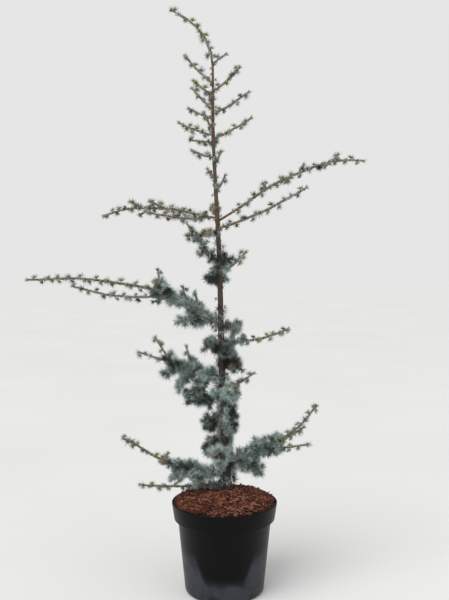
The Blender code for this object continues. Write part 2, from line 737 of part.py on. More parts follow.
def arc(middle, radius, first, last, steps):
    """Points of an arc in a profile, between two angles in degrees."""
    angles = [math.radians(first + (last - first) * i / steps) for i in range(steps + 1)]
    return [(middle[0] + radius * math.cos(a), middle[1] + radius * math.sin(a)) for a in angles]


def wall_inside():
    """The pot's inner wall from the floor up, as (radius, height) points."""
    band_foot = POT_HEIGHT - BAND_HEIGHT
    return [
        (BASE_RADIUS - BASE_ROUND, POT_WALL),
        (BASE_RADIUS - POT_WALL, BASE_ROUND),
        (BODY_RADIUS - POT_WALL, band_foot - BAND_LEDGE / 2),
        (BAND_FOOT_RADIUS - BAND_LEDGE - POT_WALL, band_foot + BAND_LEDGE),
        (RIM_RADIUS - 2 * RIM_ROUND - GAP, POT_HEIGHT - RIM_ROUND),
    ]


def inner_radius(height):
    """Radius of the pot's inner wall at a height."""
    radii, heights = zip(*wall_inside())
    return float(np.interp(height, heights, radii))


def mulch_height(x, y):
    """Height of the bark mulch, a mound with small lumps; below that, the rim and the ground."""
    radius = math.hypot(x, y)
    edge = inner_radius(MULCH_EDGE) - GAP
    if radius > edge:
        return POT_HEIGHT if radius < RIM_RADIUS else 0.0
    mound = (MULCH_TOP - MULCH_EDGE) * (1 - (radius / edge) ** MOUND_POWER)
    (wide_x, wide_y), (fine_x, fine_y) = MULCH_WAVES
    lumps = math.sin(wide_x * x + MULCH_PHASE) * math.cos(wide_y * y)
    lumps += math.sin(fine_x * (x - y)) * math.cos(fine_y * (x + y))
    return MULCH_EDGE + mound + MULCH_LUMP * lumps * smooth_step(edge - radius, 0, MULCH_FADE)


def make_pot(material):
    """The nursery pot: tapering wall, deep rim band, rounded foot and drain holes in its base."""
    band_foot = POT_HEIGHT - BAND_HEIGHT
    profile = [
        (0, POT_WALL),
        *wall_inside(),
        *arc((RIM_RADIUS - RIM_ROUND, POT_HEIGHT - RIM_ROUND), RIM_ROUND, 90, 0, 2),
        (BAND_FOOT_RADIUS, band_foot + BAND_LEDGE),
        (BAND_FOOT_RADIUS - BAND_LEDGE, band_foot),
        (BODY_RADIUS, band_foot - BAND_LEDGE),
        *arc((BASE_RADIUS - BASE_ROUND, BASE_ROUND), BASE_ROUND, 0, -90, 3),
        (0, 0),
    ]
    pot = turned("pot", profile, PARTS, material)
    for i in range(DRAIN_HOLES):
        spot = DRAIN_CIRCLE * heading(DRAIN_BEARING + 360 * i / DRAIN_HOLES, 0)
        bpy.ops.mesh.primitive_cylinder_add(
            vertices=DRAIN_SIDES, radius=DRAIN_RADIUS, depth=4 * POT_WALL, location=spot
        )
        cutter = as_guide(bpy.context.object)
        cutter.name = f"drain_cutter_{i + 1}"
        for old in list(cutter.users_collection):
            old.objects.unlink(cutter)
        GUIDES.objects.link(cutter)
        cut_away(pot, cutter)


def make_root_ball(material):
    """The potting soil, which fills the pot up to the mulch."""
    wall = [(radius - GAP, height) for radius, height in wall_inside() if height < SOIL_TOP]
    wall[0] = (wall[0][0], POT_WALL + GAP)
    top = [(inner_radius(SOIL_TOP) - GAP, SOIL_TOP), (0, SOIL_TOP)]
    turned("root_ball", [(0, POT_WALL + GAP), *wall, *top][::-1], PARTS, material)


def make_mulch(material):
    """Bark mulch: a lumpy mound inside the rim, open round the trunk's foot."""
    floor = SOIL_TOP + GAP
    foot = Vector((TRUNK_FOOT[0], TRUNK_FOOT[1], 0))
    loops = [[] for _ in range(MULCH_RINGS + 3)]
    for i in range(POT_SIDES):
        out = heading(360 * i / POT_SIDES, 0)
        near = foot + out * COLLAR_RADIUS
        far = out * (inner_radius(MULCH_EDGE) - 2 * GAP)
        loops[0].append((near.x, near.y, floor))
        for k in range(MULCH_RINGS + 1):
            spot = near.lerp(far, k / MULCH_RINGS)
            loops[k + 1].append((spot.x, spot.y, mulch_height(spot.x, spot.y)))
        low = out * (inner_radius(floor) - 2 * GAP)
        loops[-1].append((low.x, low.y, floor))
    work = bmesh.new()
    rings = [[work.verts.new(spot) for spot in loop] for loop in loops]
    for near, far in zip(rings, rings[1:] + rings[:1]):
        for i in range(POT_SIDES):
            work.faces.new((near[i - 1], near[i], far[i], far[i - 1]))
    bmesh.ops.triangulate(work, faces=work.faces)
    bmesh.ops.recalc_face_normals(work, faces=work.faces)
    place("bark_mulch", from_bmesh("bark_mulch", work), PARTS, material)


def make_trunk(material):
    """The trunk, from a flat cut on the soil to the leading shoot, and its cutter."""
    line = cut_line(TRUNK_LINE, 0, TRUNK_LENGTH)
    radii = [trunk_radius(point.z) for point in line]
    SPACE.add_line("trunk", 0, line, radii)
    trunk = tube("trunk", line, radii, TRUNK_SIDES, PARTS, material)
    for corner in trunk.data.vertices:
        if corner.co.z < line[0].z + radii[0] / 4:
            corner.co.z = line[0].z
    return as_guide(tube("trunk_cutter", line, [r + GAP for r in radii], TRUNK_SIDES, GUIDES))


def make_plant(materials):
    """Trunk, boughs and foliage."""
    cutter = make_trunk(materials["bark"])
    leader = leader_mass()
    masses, boughs = lay_limbs(all_limbs())
    for name, line, radii in boughs:
        cut_away(tube(name, line, radii, BOUGH_SIDES, PARTS, materials["bark"]), cutter)
    for mass in [leader, *masses]:
        make_mass(mass, cutter, materials["needles"])


def shade_round(things):
    """Smooth shading for round pieces, with their real edges kept sharp."""
    for thing in things:
        thing.data.shade_smooth()
        thing.data.set_sharp_from_angle(angle=math.radians(SHARP_ANGLE))


clear_scene()
PARTS = make_collection("potted_cedar")
GUIDES = make_collection("cutters")
TRUNK_LINE = trunk_line()
SPACE = Space()

bpy.context.scene.unit_settings.system = "METRIC"
MATERIALS = make_materials()
make_pot(MATERIALS["pot"])
make_root_ball(MATERIALS["soil"])
make_mulch(MATERIALS["mulch"])
make_plant(MATERIALS)
shade_round([thing for thing in PARTS.objects if not thing.name.startswith("needles_")])
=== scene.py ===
"""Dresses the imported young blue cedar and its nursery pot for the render.

Metres, +Z up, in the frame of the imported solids: the origin is the centre of the pot's underside.
Twigs grow from the limbs by the seeded rule that also made the solids, and are then carried to
spurs and single needles within the same reach. Bearings are degrees round the trunk from +X,
pitches are degrees above level.
"""

import math
import random
from collections import namedtuple

import bpy
import numpy as np
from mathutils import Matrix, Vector, noise


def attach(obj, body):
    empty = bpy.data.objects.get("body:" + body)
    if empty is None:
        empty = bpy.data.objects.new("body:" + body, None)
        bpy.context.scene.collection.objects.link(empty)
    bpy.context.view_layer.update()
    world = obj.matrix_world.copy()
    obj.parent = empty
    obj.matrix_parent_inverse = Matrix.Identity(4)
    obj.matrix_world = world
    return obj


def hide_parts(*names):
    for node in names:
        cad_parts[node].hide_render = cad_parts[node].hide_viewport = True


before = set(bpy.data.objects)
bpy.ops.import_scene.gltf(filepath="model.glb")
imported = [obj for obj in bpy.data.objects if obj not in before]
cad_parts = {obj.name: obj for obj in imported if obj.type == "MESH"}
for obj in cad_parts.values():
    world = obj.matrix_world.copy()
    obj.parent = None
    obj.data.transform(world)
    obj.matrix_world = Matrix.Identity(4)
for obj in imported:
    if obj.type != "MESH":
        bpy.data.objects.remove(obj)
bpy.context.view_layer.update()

# The gap between two solids.
GAP = 0.0003

# The photograph's viewpoint: 1.88 m in front, a little above the middle of the tree, tipped slightly down.
CAMERA_SPOT = (0, -1.88, 0.794)
CAMERA_TIP = 2.6
CAMERA_LENS = 46.8
SENSOR = 36

# Studio light: the middle of the tree that it is aimed at, the share of the pale surroundings that lights
# the scene, the places of the soft key and fill, how wide and strong they are, and the size of the floor.
MIDDLE = (0, 0, 0.6)
AMBIENT = 0.67
KEY_SPOT = (-1.2, -1.5, 2.6)
KEY_SPREAD = 50
KEY_STRENGTH = 1.68
FILL_SPOT = (2.2, -1.6, 1.6)
FILL_SIZE = 2.0
FILL_WATTS = 12
FLOOR_RADIUS = 40
FLOOR_SIDES = 96

# Nursery pot of 7.5 litres. Its rim stands a little proud of the band. Points of its mesh within the weld
# become one, and edges above the sharp angle in degrees stay sharp.
POT_HEIGHT = 0.219
RIM_RADIUS = 0.128
RIM_ROUND = 0.0016
RIM_LIP = 0.0004
RIM_DEPTH = 0.006
BAND_HEIGHT = 0.041
BAND_FOOT_RADIUS = 0.1225
BAND_LEDGE = 0.003
BAND_SWELL = 0.0002
BODY_RADIUS = 0.1130
NECK_FLARE = 0.0012
BASE_RADIUS = 0.0965
BASE_ROUND = 0.010
POT_WALL = 0.0022
POT_STEPS = 160
POT_WELD = 0.00005
POT_SHARP = 34
DRAIN_HOLES = 6
DRAIN_RADIUS = 0.0058
DRAIN_CIRCLE = 0.074
DRAIN_BEARING = 18
DRAIN_SIDES = 32

# Potting soil and the mound of bark mulch on it.
SOIL_TOP = 0.200
MULCH_EDGE = 0.214
MULCH_TOP = 0.240
MULCH_LUMP = 0.0018
MULCH_WAVES = ((95, 83), (141, 117))
MULCH_PHASE = 1.3
MULCH_FADE = 0.02
MOUND_POWER = 2.4

# Trunk and leading shoot.
TRUNK_FOOT = (0.0095, 0.012, SOIL_TOP + GAP)
TRUNK_LENGTH = 1.085
TRUNK_STEP = 0.0345
LEADER_LENGTH = 0.158
LEAN = 2.1
SWAY = 1.1
SWAY_LENGTH = 0.6
LEAN_ENDS = (0.87, 0.97)
NOD = 62
NOD_SPAN = (1.04, 1.24)
FOOT_RADIUS = 0.0105
TOP_RADIUS = 0.0024
FLARE_RADIUS = 0.0055
FLARE_HEIGHT = 0.014
FLARE_LEVEL = 0.232

# The rule for limbs and twigs.
TIP_RADIUS = 0.0010
TWIG_RADIUS = 0.0017
FORK_RADIUS = 0.0019
DENSE_FORK = 0.4
CORE_STEP = 0.0106
BARE_STEP = 0.024
NEEDLE_THICKNESS = 0.0014
TWIG_SPACING = 0.022
SPACING_SPREAD = (0.85, 1.15)
FIRST_TWIG = 0.4
TWIG_STRAY = 15
TWIG_LEAN = (0.5, 0.9)
TWIG_LEVELLING = 0.7
TWIG_ROOM = 0.010
TWIG_LENGTHS = (0.8, 1.15)
FAN_TAPER = 0.45
FAN_FLATNESS = 0.7
SHORTEST_TWIG = 0.016
SECOND_TRY = 0.6
BARE_ROOT = 0.009
ROSETTE_REACH = 0.0132
GOLDEN_ANGLE = 137.5
SHOOT_BEND = 6
WAVE = 3.0
WAVE_RATES = (15, 11)
LAST_PHASE = 6
CLEARANCE_SPOTS = 7

# A limb: root height on the trunk, bearing and length, its pitch at the root, the middle and the tip,
# how far its bearing turns, radius, bare share, share with dense needles, reach of side twigs, needle length.
Limb = namedtuple("Limb", "height bearing length pitches turn radius bare lush fan needle")

BRANCHES = {
    "high_left": Limb(0.906, 170, 0.280, (13, 5, -22), 6, 0.0028, 0.05, 0.0, 0.0, 0.014),
    "high_right": Limb(0.898, 10, 0.394, (34, 27, -4), -8, 0.0030, 0.10, 0.0, 0.0, 0.014),
    "high_right_front": Limb(0.882, -30, 0.238, (13, 21, 31), 6, 0.0028, 0.0, 0.12, 0.0, 0.013),
    "mid_left": Limb(0.644, 172, 0.498, (42, 10, -1), 6, 0.0044, 0.045, 0.32, 0.054, 0.022),
    "mid_right": Limb(0.610, 20, 0.174, (-10, 8, 22), 0, 0.0026, 0.0, 0.34, 0.014, 0.013),
    "lower_left": Limb(0.520, 186, 0.204, (13, 18, 15), -6, 0.0036, 0.08, 0.66, 0.056, 0.023),
    "low_left": Limb(0.290, 200, 0.276, (-8, 26, 32), 4, 0.0040, 0.10, 0.60, 0.050, 0.023),
    "low_left_back": Limb(0.257, 172, 0.206, (-4, -4, 8), 4, 0.0026, 0.0, 0.42, 0.022, 0.015),
    "low_right": Limb(0.298, -10, 0.260, (27, 32, 58), 6, 0.0040, 0.08, 0.56, 0.054, 0.023),
    "low_front": Limb(0.322, 258, 0.130, (12, 20, 30), 0, 0.0030, 0.0, 0.80, 0.036, 0.022),
    "low_back": Limb(0.349, 88, 0.235, (20, 24, 30), 6, 0.0036, 0.14, 0.60, 0.040, 0.022),
    "mid_back": Limb(0.548, 76, 0.170, (12, 18, 24), 8, 0.0030, 0.0, 0.60, 0.030, 0.020),
    "mid_front": Limb(0.478, 284, 0.120, (8, 16, 24), 0, 0.0028, 0.0, 0.80, 0.034, 0.021),
    "upper_back": Limb(0.750, 94, 0.235, (4, 10, 2), -6, 0.0036, 0.14, 0.50, 0.028, 0.018),
    "high_back": Limb(0.919, 92, 0.190, (14, 8, -6), 6, 0.0028, 0.0, 0.10, 0.0, 0.013),
    "high_front": Limb(0.868, 254, 0.120, (2, 0, -12), 0, 0.0026, 0.0, 0.20, 0.0, 0.013),
    "rising_left": Limb(0.782, 204, 0.132, (66, 46, 66), -6, 0.0028, 0.0, 0.85, 0.026, 0.017),
    "small_right_high": Limb(0.776, 20, 0.078, (10, 40, 44), 0, 0.0022, 0.0, 0.20, 0.0, 0.014),
    "small_right_low": Limb(0.490, 16, 0.080, (6, 26, 34), 0, 0.0022, 0.0, 0.20, 0.0, 0.016),
}

# A fork of a branch: the share of the branch where it leaves, and its own bearing, length, pitches
# and share with dense needles.
Fork = namedtuple("Fork", "branch at bearing length pitches lush")

FORKS = [
    Fork("mid_left", 0.31, 188, 0.226, (-12, 6, 18), 0.12),
    Fork("mid_left", 0.33, 160, 0.054, (74, 78, 80), 0.45),
    Fork("mid_left", 0.12, 150, 0.050, (66, 74, 78), 0.0),
    Fork("mid_left", 0.19, 196, 0.044, (62, 70, 76), 0.0),
    Fork("mid_left", 0.27, 200, 0.052, (-8, -14, -16), 0.0),
    Fork("mid_left", 0.30, 172, 0.046, (44, 38, 32), 0.0),
    Fork("mid_left", 0.10, 198, 0.062, (-22, -14, -8), 1.0),
    Fork("mid_left", 0.055, 184, 0.046, (-14, -4, 4), 1.0),
    Fork("high_left", 0.07, 190, 0.156, (-14, 6, 12), 0.0),
    Fork("high_left", 0.46, 200, 0.040, (22, 24, 24), 0.0),
    Fork("high_left", 0.58, 150, 0.036, (-22, -20, -18), 0.0),
    Fork("high_left", 0.66, 196, 0.032, (26, 24, 22), 0.0),
    Fork("high_right", 0.33, 50, 0.028, (52, 50, 46), 0.0),
    Fork("high_right", 0.45, -30, 0.034, (10, 12, 14), 0.0),
    Fork("high_right", 0.58, 40, 0.028, (58, 52, 46), 0.0),
    Fork("high_right", 0.69, -28, 0.040, (0, 8, 14), 0.0),
    Fork("high_right", 0.81, 34, 0.024, (50, 44, 40), 0.0),
    Fork("lower_left", 0.62, 176, 0.068, (60, 60, 58), 0.10),
    Fork("lower_left", 0.34, 160, 0.058, (62, 74, 78), 0.30),
    Fork("lower_left", 0.14, 190, 0.076, (-58, -44, -30), 1.0),
    Fork("lower_left", 0.32, 196, 0.060, (-34, -44, -40), 1.0),
    Fork("lower_left", 0.50, 176, 0.044, (-24, -30, -30), 1.0),
    Fork("low_left", 0.13, 168, 0.090, (12, 8, 20), 1.0),
    Fork("low_left", 0.36, 190, 0.046, (-34, -28, -20), 1.0),
    Fork("low_right", 0.52, 8, 0.074, (24, 28, 32), 0.15),
    Fork("low_right", 0.42, -26, 0.108, (4, 10, 16), 0.25),
    Fork("low_right", 0.13, 16, 0.078, (52, 36, 26), 1.0),
    Fork("low_right", 0.13, -14, 0.056, (-34, -22, -8), 1.0),
]

# A short shoot: root height, bearing, length and pitch.
Shoot = namedtuple("Shoot", "height bearing length pitch")

# Sparse shoots on the upper trunk, from the top down.
UPPER = [
    Shoot(1.276, 12, 0.036, 36),
    Shoot(1.226, 172, 0.092, 45),
    Shoot(1.208, -12, 0.080, 40),
    Shoot(1.198, 196, 0.054, 38),
    Shoot(1.180, 100, 0.052, 34),
    Shoot(1.164, 164, 0.072, 45),
    Shoot(1.154, 10, 0.100, 33),
    Shoot(1.142, 190, 0.058, 24),
    Shoot(1.112, 238, 0.048, 50),
    Shoot(1.104, 168, 0.086, 21),
    Shoot(1.096, -8, 0.098, 27),
    Shoot(1.076, 84, 0.050, 30),
    Shoot(1.088, 200, 0.052, 2),
    Shoot(1.050, 176, 0.052, 20),
    Shoot(1.034, 300, 0.036, 40),
    Shoot(0.998, 140, 0.032, 50),
    Shoot(0.968, 312, 0.046, 48),
]
UPPER_RADIUS = 0.0016

# Dense short shoots close round the lower trunk.
INNER = [
    Shoot(0.800, 300, 0.026, 6),
    Shoot(0.792, 200, 0.036, -50),
    Shoot(0.646, 4, 0.034, -4),
    Shoot(0.606, 204, 0.026, 8),
    Shoot(0.580, 258, 0.046, 20),
    Shoot(0.552, -20, 0.036, 4),
    Shoot(0.478, 196, 0.062, -10),
    Shoot(0.434, -50, 0.026, 8),
    Shoot(0.432, 182, 0.044, -40),
    Shoot(0.388, 60, 0.024, 20),
    Shoot(0.376, 170, 0.044, -34),
]
INNER_RADIUS = 0.0022
INNER_FAN = 0.034
INNER_NEEDLE = 0.022

# Needles: their width and its spread, their spread of lengths, how far along they are widest, how much they
# curve in, and their sides. In a spray each strays in how far it opens and in its turn, and it keeps some
# room over the mulch and beyond the rim.
NEEDLE_WIDTH = 0.00105
NEEDLE_WIDTHS = (0.85, 1.15)
NEEDLE_LENGTHS = (0.55, 1.12)
NEEDLE_WIDEST = 0.4
NEEDLE_CURVE = 0.05
NEEDLE_SIDES = 3
OPENING_SPREAD = (0.82, 1.18)
TURN_STRAY = 0.3
NEEDLE_ROOM = 0.0015
RIM_ROOM = 0.002

# Sprays and fine twigs go round a twig by the golden angle: how many first bearings there are, how many
# degrees each strays, and the spread of the steps along the twig.
FIRST_BEARINGS = 8
STRAY = 25
STEP_SPREAD = (0.75, 1.25)

# Dense growth: the step between sprays along a twig, the needles in each, how far they open and lean forward,
# their spread of lengths, and the share of a twig's bare root where they begin.
DENSE_STEP = 0.0045
DENSE_COUNT = 24
DENSE_OPENING = 70
DENSE_LEAN = (0.35, 0.75)
DENSE_LENGTHS = (0.80, 0.98)
DENSE_START = 0.6

# Sparse growth: a cluster of short needles on each small spur, with the spread of its steps, lengths and
# lean, how many degrees it strays, and how far clusters keep from the start and the end of the stretch; and
# the share of a twig's bare root where the stretch begins.
CLUSTER_STEP = 0.0135
CLUSTER_SPREAD = (0.35, 1.5)
CLUSTER_COUNT = 50
CLUSTER_OPENING = 86
CLUSTER_REACH = 0.0126
CLUSTER_LENGTHS = (0.75, 1.2)
CLUSTER_LEAN = (0.3, 0.7)
CLUSTER_STRAY = 30
CLUSTER_START = 0.3
CLUSTER_END = 0.003
SPARSE_START = 0.8

# Single needles on a sparse twig: their length, how far they open and lean forward, and how many share a
# place. They clothe the twig, and longer ones stand out within a distance of the trunk on the high branches.
Singles = namedtuple("Singles", "reach opening lean count")

CLOTHING = Singles(0.0070, 30, 1.7, 4)
SPIKY = Singles(0.0140, 34, 0.7, 3)
SPIKY_WITHIN = {"high_left": 0.130, "high_right_front": 0.020, "high_front": 0.120}
SINGLE_STEP = 0.0010
SINGLE_LENGTHS = (0.7, 1.15)
SINGLE_LEANS = (0.6, 1.6)
SINGLE_DEPTH = 0.8

# Small spurs, with how far their tips go on into the needles.
SPUR_LENGTH = 0.0044
SPUR_WIDTH = 0.0028
SPUR_OVERLAP = 0.15

# The spray at a twig's tip: its needles, how far they open, their share of the length, and its setback.
TIP_COUNT = 22
TIP_OPENING = 50
TIP_SHARE = 0.9
TIP_SETBACK = 0.001

# Twigs as tubes: the length of a step, sides, least radius, and the size and rate of their knobs.
TUBE_STEP = 0.006
TUBE_SIDES = 6
SPARSE_RADIUS = 0.0016
KNOB_SIZE = 0.10
KNOB_RATE = 2.4

# Finer twigs than the solids have, on every dense stem, fork, side twig and bough: their spacing where growth
# is close and airy, size, lean, curl, room over the mulch, and the needles on them beside the branch's own.
FINE_SPACING = 0.0062
AIRY_SPACING = 0.0120
FINE_LENGTH = 0.016
FINE_LENGTHS = (0.6, 1.15)
FINE_RADIUS = 0.0009
FINE_SIDES = 4
FINE_LEAN = 0.7
FINE_CURL = 0.2
FINE_ROOM = 0.006
FINE_ROOT = 0.4
FINE_NEEDLE = 0.86
FINE_NEEDLE_LENGTHS = (0.8, 1.0)
FINE_NEEDLE_LEAN = 0.6

# How much shorter growth is at the end of a branch's dense stretch, from this share of it on.
SLIMMING = {"low_left": 0.40, "low_right": 0.15, "lower_left": 0.12}
SLIM_FROM = 0.45

# Spurs on the trunk itself: from one height to another, their spacing, needle length and count, and the
# group they join. All share one length beside the twigs' spurs, and a spread of rise, reach and steps.
TrunkSpurs = namedtuple("TrunkSpurs", "low high step reach count group")

TRUNK_SPURS = [
    TrunkSpurs(0.262, 0.330, 0.0026, 0.0250, 28, "inner"),
    TrunkSpurs(0.330, 0.525, 0.0030, 0.0205, 28, "inner"),
    TrunkSpurs(0.525, 0.620, 0.0080, 0.0160, 20, "inner"),
    TrunkSpurs(0.620, 0.690, 0.0048, 0.0180, 22, "inner"),
    TrunkSpurs(0.690, 0.750, 0.0260, 0.0100, 16, "inner"),
    TrunkSpurs(0.750, 0.850, 0.0060, 0.0170, 22, "inner"),
    TrunkSpurs(0.850, 1.276, 0.0130, 0.0085, 20, "shoot"),
]
TRUNK_SPUR_SHARE = 0.5
TRUNK_SPUR_RISE = (0.1, 0.5)
TRUNK_SPUR_REACH = (0.8, 1.05)
TRUNK_SPUR_SPREAD = (0.7, 1.3)

# Needle colours by kind, and the share of each kind in each sort of growth.
# deep_green and dull_brown are darker than the needles themselves, so that they also stand for the shade
# between tufts: painted shade, most of all in the shaded and column mixtures.
NEEDLE_COLORS = {
    "waxy_blue": ("#cddcd8", "#b2c5c1"),
    "grey_blue": ("#a0b1ab", "#879992"),
    "blue_green": ("#75887f", "#606f67"),
    "deep_green": ("#373f39", "#282f2b"),
    "olive": ("#b6b19c", "#9b9682"),
    "yellow_green": ("#b0af78", "#969663"),
    "dull_brown": ("#54443b", "#3b2f28"),
}
KIND_NAMES = list(NEEDLE_COLORS)
KIND_SHARES = {
    "bright": (0.52, 0.32, 0.11, 0.02, 0.01, 0.00, 0.02),
    "even": (0.20, 0.32, 0.24, 0.15, 0.03, 0.00, 0.06),
    "shaded": (0.01, 0.08, 0.20, 0.43, 0.04, 0.00, 0.24),
    "airy": (0.16, 0.28, 0.20, 0.12, 0.18, 0.02, 0.04),
    "sparse": (0.06, 0.13, 0.13, 0.01, 0.58, 0.03, 0.06),
    "young": (0.06, 0.19, 0.12, 0.01, 0.48, 0.11, 0.03),
    "yellow": (0.06, 0.14, 0.09, 0.01, 0.38, 0.32, 0.00),
    "column": (0.04, 0.12, 0.14, 0.28, 0.10, 0.00, 0.32),
}

# Random patches of brighter and darker growth, with painted light and painted shade on top: the patches'
# size, the tones where they begin, the painted light on the low and mid groups and painted shade on the inner
# group round the trunk, the painted shade close to a stem and painted light on a fine twig, where the lowest
# left branch is yellowish, and the height above which the lowest right one is young.
PATCH_SIZE = 0.020
BRIGHT_FROM = 0.08
SHADED_TO = -0.15
GROUP_LIGHTS = {"low": 0.18, "mid": 0.16, "inner": -0.26}
STEM_SHADE = -0.22
TWIG_LIGHT = 0.07
YELLOW_STRETCH = (-0.200, -0.134)
YOUNG_ABOVE = 0.39

# Bark relief of the trunk and the boughs: the length of a step, sides and the height of a ridge; how often
# cracks and swellings come round and along a limb; and the collar at each knot.
Relief = namedtuple("Relief", "step sides ridge")

TRUNK_RELIEF = Relief(0.0028, 30, 0.00028)
BOUGH_RELIEF = Relief(0.0024, 16, 0.00016)
CRACKS_ROUND = 2.6
CRACK_LENGTH = 0.014
CRACK_RATES = (1.4, 3.1)
SWELLS_ROUND = 0.8
SWELL_LENGTH = 0.028
SWELL_SIZE = 0.07
COLLAR_SIZE = 0.16
COLLAR_HEIGHT = 0.005

# The pot's lighter foot, partly dust and partly a painted reflection of the pale floor: the heights between
# which it fades in the middle, how much higher it lies at the sides, and how far from the middle it begins
# and ends to rise.
DUST_AND_REFLECTION_LEVELS = (0.036, 0.064)
DUST_AND_REFLECTION_RISE = 0.058
DUST_AND_REFLECTION_SIDES = (0.038, 0.072)

# Bark chips of the mulch: how many there are and how many are tried for each, their sizes, how high and at
# what slant they lie, how they are bowed, shifted and torn, their room to the pot's wall and the trunk, and
# the share of each colour.
CHIP_COUNT = 2800
CHIP_TRIES = 3
CHIP_LENGTHS = (0.007, 0.028)
CHIP_WIDTHS = (0.0020, 0.0072)
CHIP_THICKNESSES = (0.0008, 0.0022)
CHIP_LIFT = (0.0000, 0.0042)
CHIP_TILT = 24
CHIP_ROLL = 0.6
CHIP_BOW = 0.06
CHIP_SHIFT = 0.07
CHIP_TEAR = (0.7, 1.3)
CHIP_WALL_ROOM = 0.0008
CHIP_TRUNK_ROOM = 0.001
CHIP_SHARES = (0.26, 0.36, 0.26, 0.12)

# The four sections of a chip, with the place along it and the shares of its width and thickness, and the
# corners of each section, across and up.
CHIP_SECTIONS = ((-0.5, 0.35, 0.5), (-0.28, 1.0, 1.0), (0.22, 0.85, 1.0), (0.5, 0.3, 0.45))
CHIP_CORNERS = ((-1, -1), (1, -1), (1, 1), (-1, 1))


def srgb(code):
    """An sRGB hex colour as linear red, green, blue and alpha."""
    parts = [int(code[i : i + 2], 16) / 255 for i in (1, 3, 5)]
    return (*(p / 12.92 if p <= 0.04045 else ((p + 0.055) / 1.055) ** 2.4 for p in parts), 1.0)


def add_node(tree, kind, inputs=None, stops=None, **settings):
    """Adds a node with its settings; each input is a value, or a socket to link from."""
    made = tree.nodes.new(kind)
    for name, value in settings.items():
        setattr(made, name, value)
    for name, value in (inputs or {}).items():
        if isinstance(value, bpy.types.NodeSocket):
            tree.links.new(value, made.inputs[name])
        else:
            made.inputs[name].default_value = value
    for i, (place, color) in enumerate(stops or ()):
        while len(made.color_ramp.elements) <= i:
            made.color_ramp.elements.new(1.0)
        made.color_ramp.elements[i].position = place
        made.color_ramp.elements[i].color = srgb(color)
    return made


def new_material(name, color, roughness, ior=1.5):
    """A Principled material; returns it with its node tree and shader."""
    material = bpy.data.materials.new(name)
    material.use_nodes = True
    material.diffuse_color = srgb(color)
    tree = material.node_tree
    shader = tree.nodes["Principled BSDF"]
    shader.inputs["Base Color"].default_value = srgb(color)
    shader.inputs["Roughness"].default_value = roughness
    shader.inputs["IOR"].default_value = ior
    return material, tree, shader


def place_of(tree):
    """The position on the object in metres, as a socket."""
    return add_node(tree, "ShaderNodeTexCoord").outputs["Object"]


def per_metre(size_mm):
    """The texture scale for a pattern whose features are this many millimetres apart."""
    return 1000 / size_mm


def moulded_black_polypropylene():
    """Nursery pot plastic: recycled, almost black, with a fine eggshell grain and faint scuffs; its foot is
    lighter with dust and a painted reflection of the pale floor.
    """
    material, tree, shader = new_material("moulded_black_polypropylene", "#0b0b0c", 0.34, 1.49)
    shader.inputs["Specular IOR Level"].default_value = 0.13
    spot = place_of(tree)
    dust_and_reflection = add_node(tree, "ShaderNodeTexNoise", {"Vector": spot, "Scale": per_metre(38), "Detail": 5.0})
    height = add_node(tree, "ShaderNodeSeparateXYZ", {"Vector": spot})
    sides = add_node(
        tree, "ShaderNodeMath", {0: height.outputs["X"], 1: height.outputs["X"]}, operation="MULTIPLY"
    )
    middle, shoulder = DUST_AND_REFLECTION_SIDES
    rise = add_node(
        tree,
        "ShaderNodeMapRange",
        {
            "Value": sides.outputs["Value"],
            "From Min": middle**2,
            "From Max": shoulder**2,
            "To Max": DUST_AND_REFLECTION_RISE,
        },
        interpolation_type="SMOOTHSTEP",
    )
    level = add_node(
        tree, "ShaderNodeMath", {0: height.outputs["Z"], 1: rise.outputs["Result"]}, operation="SUBTRACT"
    )
    low = add_node(
        tree,
        "ShaderNodeMapRange",
        {"Value": level.outputs["Value"], "From Min": DUST_AND_REFLECTION_LEVELS[1], "From Max": DUST_AND_REFLECTION_LEVELS[0]},
        interpolation_type="SMOOTHSTEP",
    )
    share = add_node(
        tree, "ShaderNodeMath", {0: dust_and_reflection.outputs["Fac"], 1: low.outputs["Result"]}, operation="MULTIPLY"
    )
    # Lighter towards the foot and higher at the sides: dust, and a painted reflection of the pale floor.
    color = add_node(
        tree,
        "ShaderNodeValToRGB",
        {"Fac": share.outputs["Value"]},
        stops=[(0.0, "#040405"), (0.30, "#202226"), (0.55, "#383b41")],
    )
    tree.links.new(color.outputs["Color"], shader.inputs["Base Color"])
    scuffs = add_node(tree, "ShaderNodeTexNoise", {"Vector": spot, "Scale": per_metre(6), "Detail": 8.0})
    gloss = add_node(
        tree, "ShaderNodeMapRange", {"Value": scuffs.outputs["Fac"], "To Min": 0.30, "To Max": 0.46}
    )
    tree.links.new(gloss.outputs["Result"], shader.inputs["Roughness"])
    # The real grain is about 0.3 mm; it is drawn at 0.9 mm so that it shows.
    grain = add_node(tree, "ShaderNodeTexNoise", {"Vector": spot, "Scale": per_metre(0.9), "Detail": 2.0})
    bump = add_node(
        tree, "ShaderNodeBump", {"Height": grain.outputs["Fac"], "Strength": 0.12, "Distance": 0.0003}
    )
    tree.links.new(bump.outputs["Normal"], shader.inputs["Normal"])
    return material


def crumbly(name, dark, light, size_mm):
    """A rough crumbled material of two colours with lumps of a real size, such as peat or bark fines."""
    material, tree, shader = new_material(name, dark, 0.95)
    spot = place_of(tree)
    lumps = add_node(tree, "ShaderNodeTexVoronoi", {"Vector": spot, "Scale": per_metre(size_mm)})
    fine = add_node(
        tree, "ShaderNodeTexNoise", {"Vector": spot, "Scale": per_metre(size_mm / 3), "Detail": 6.0}
    )
    color = add_node(
        tree, "ShaderNodeValToRGB", {"Fac": fine.outputs["Fac"]}, stops=[(0.35, dark), (0.7, light)]
    )
    tree.links.new(color.outputs["Color"], shader.inputs["Base Color"])
    bump = add_node(
        tree, "ShaderNodeBump", {"Height": lumps.outputs["Distance"], "Strength": 0.8, "Distance": 0.002}
    )
    tree.links.new(bump.outputs["Normal"], shader.inputs["Normal"])
    return material


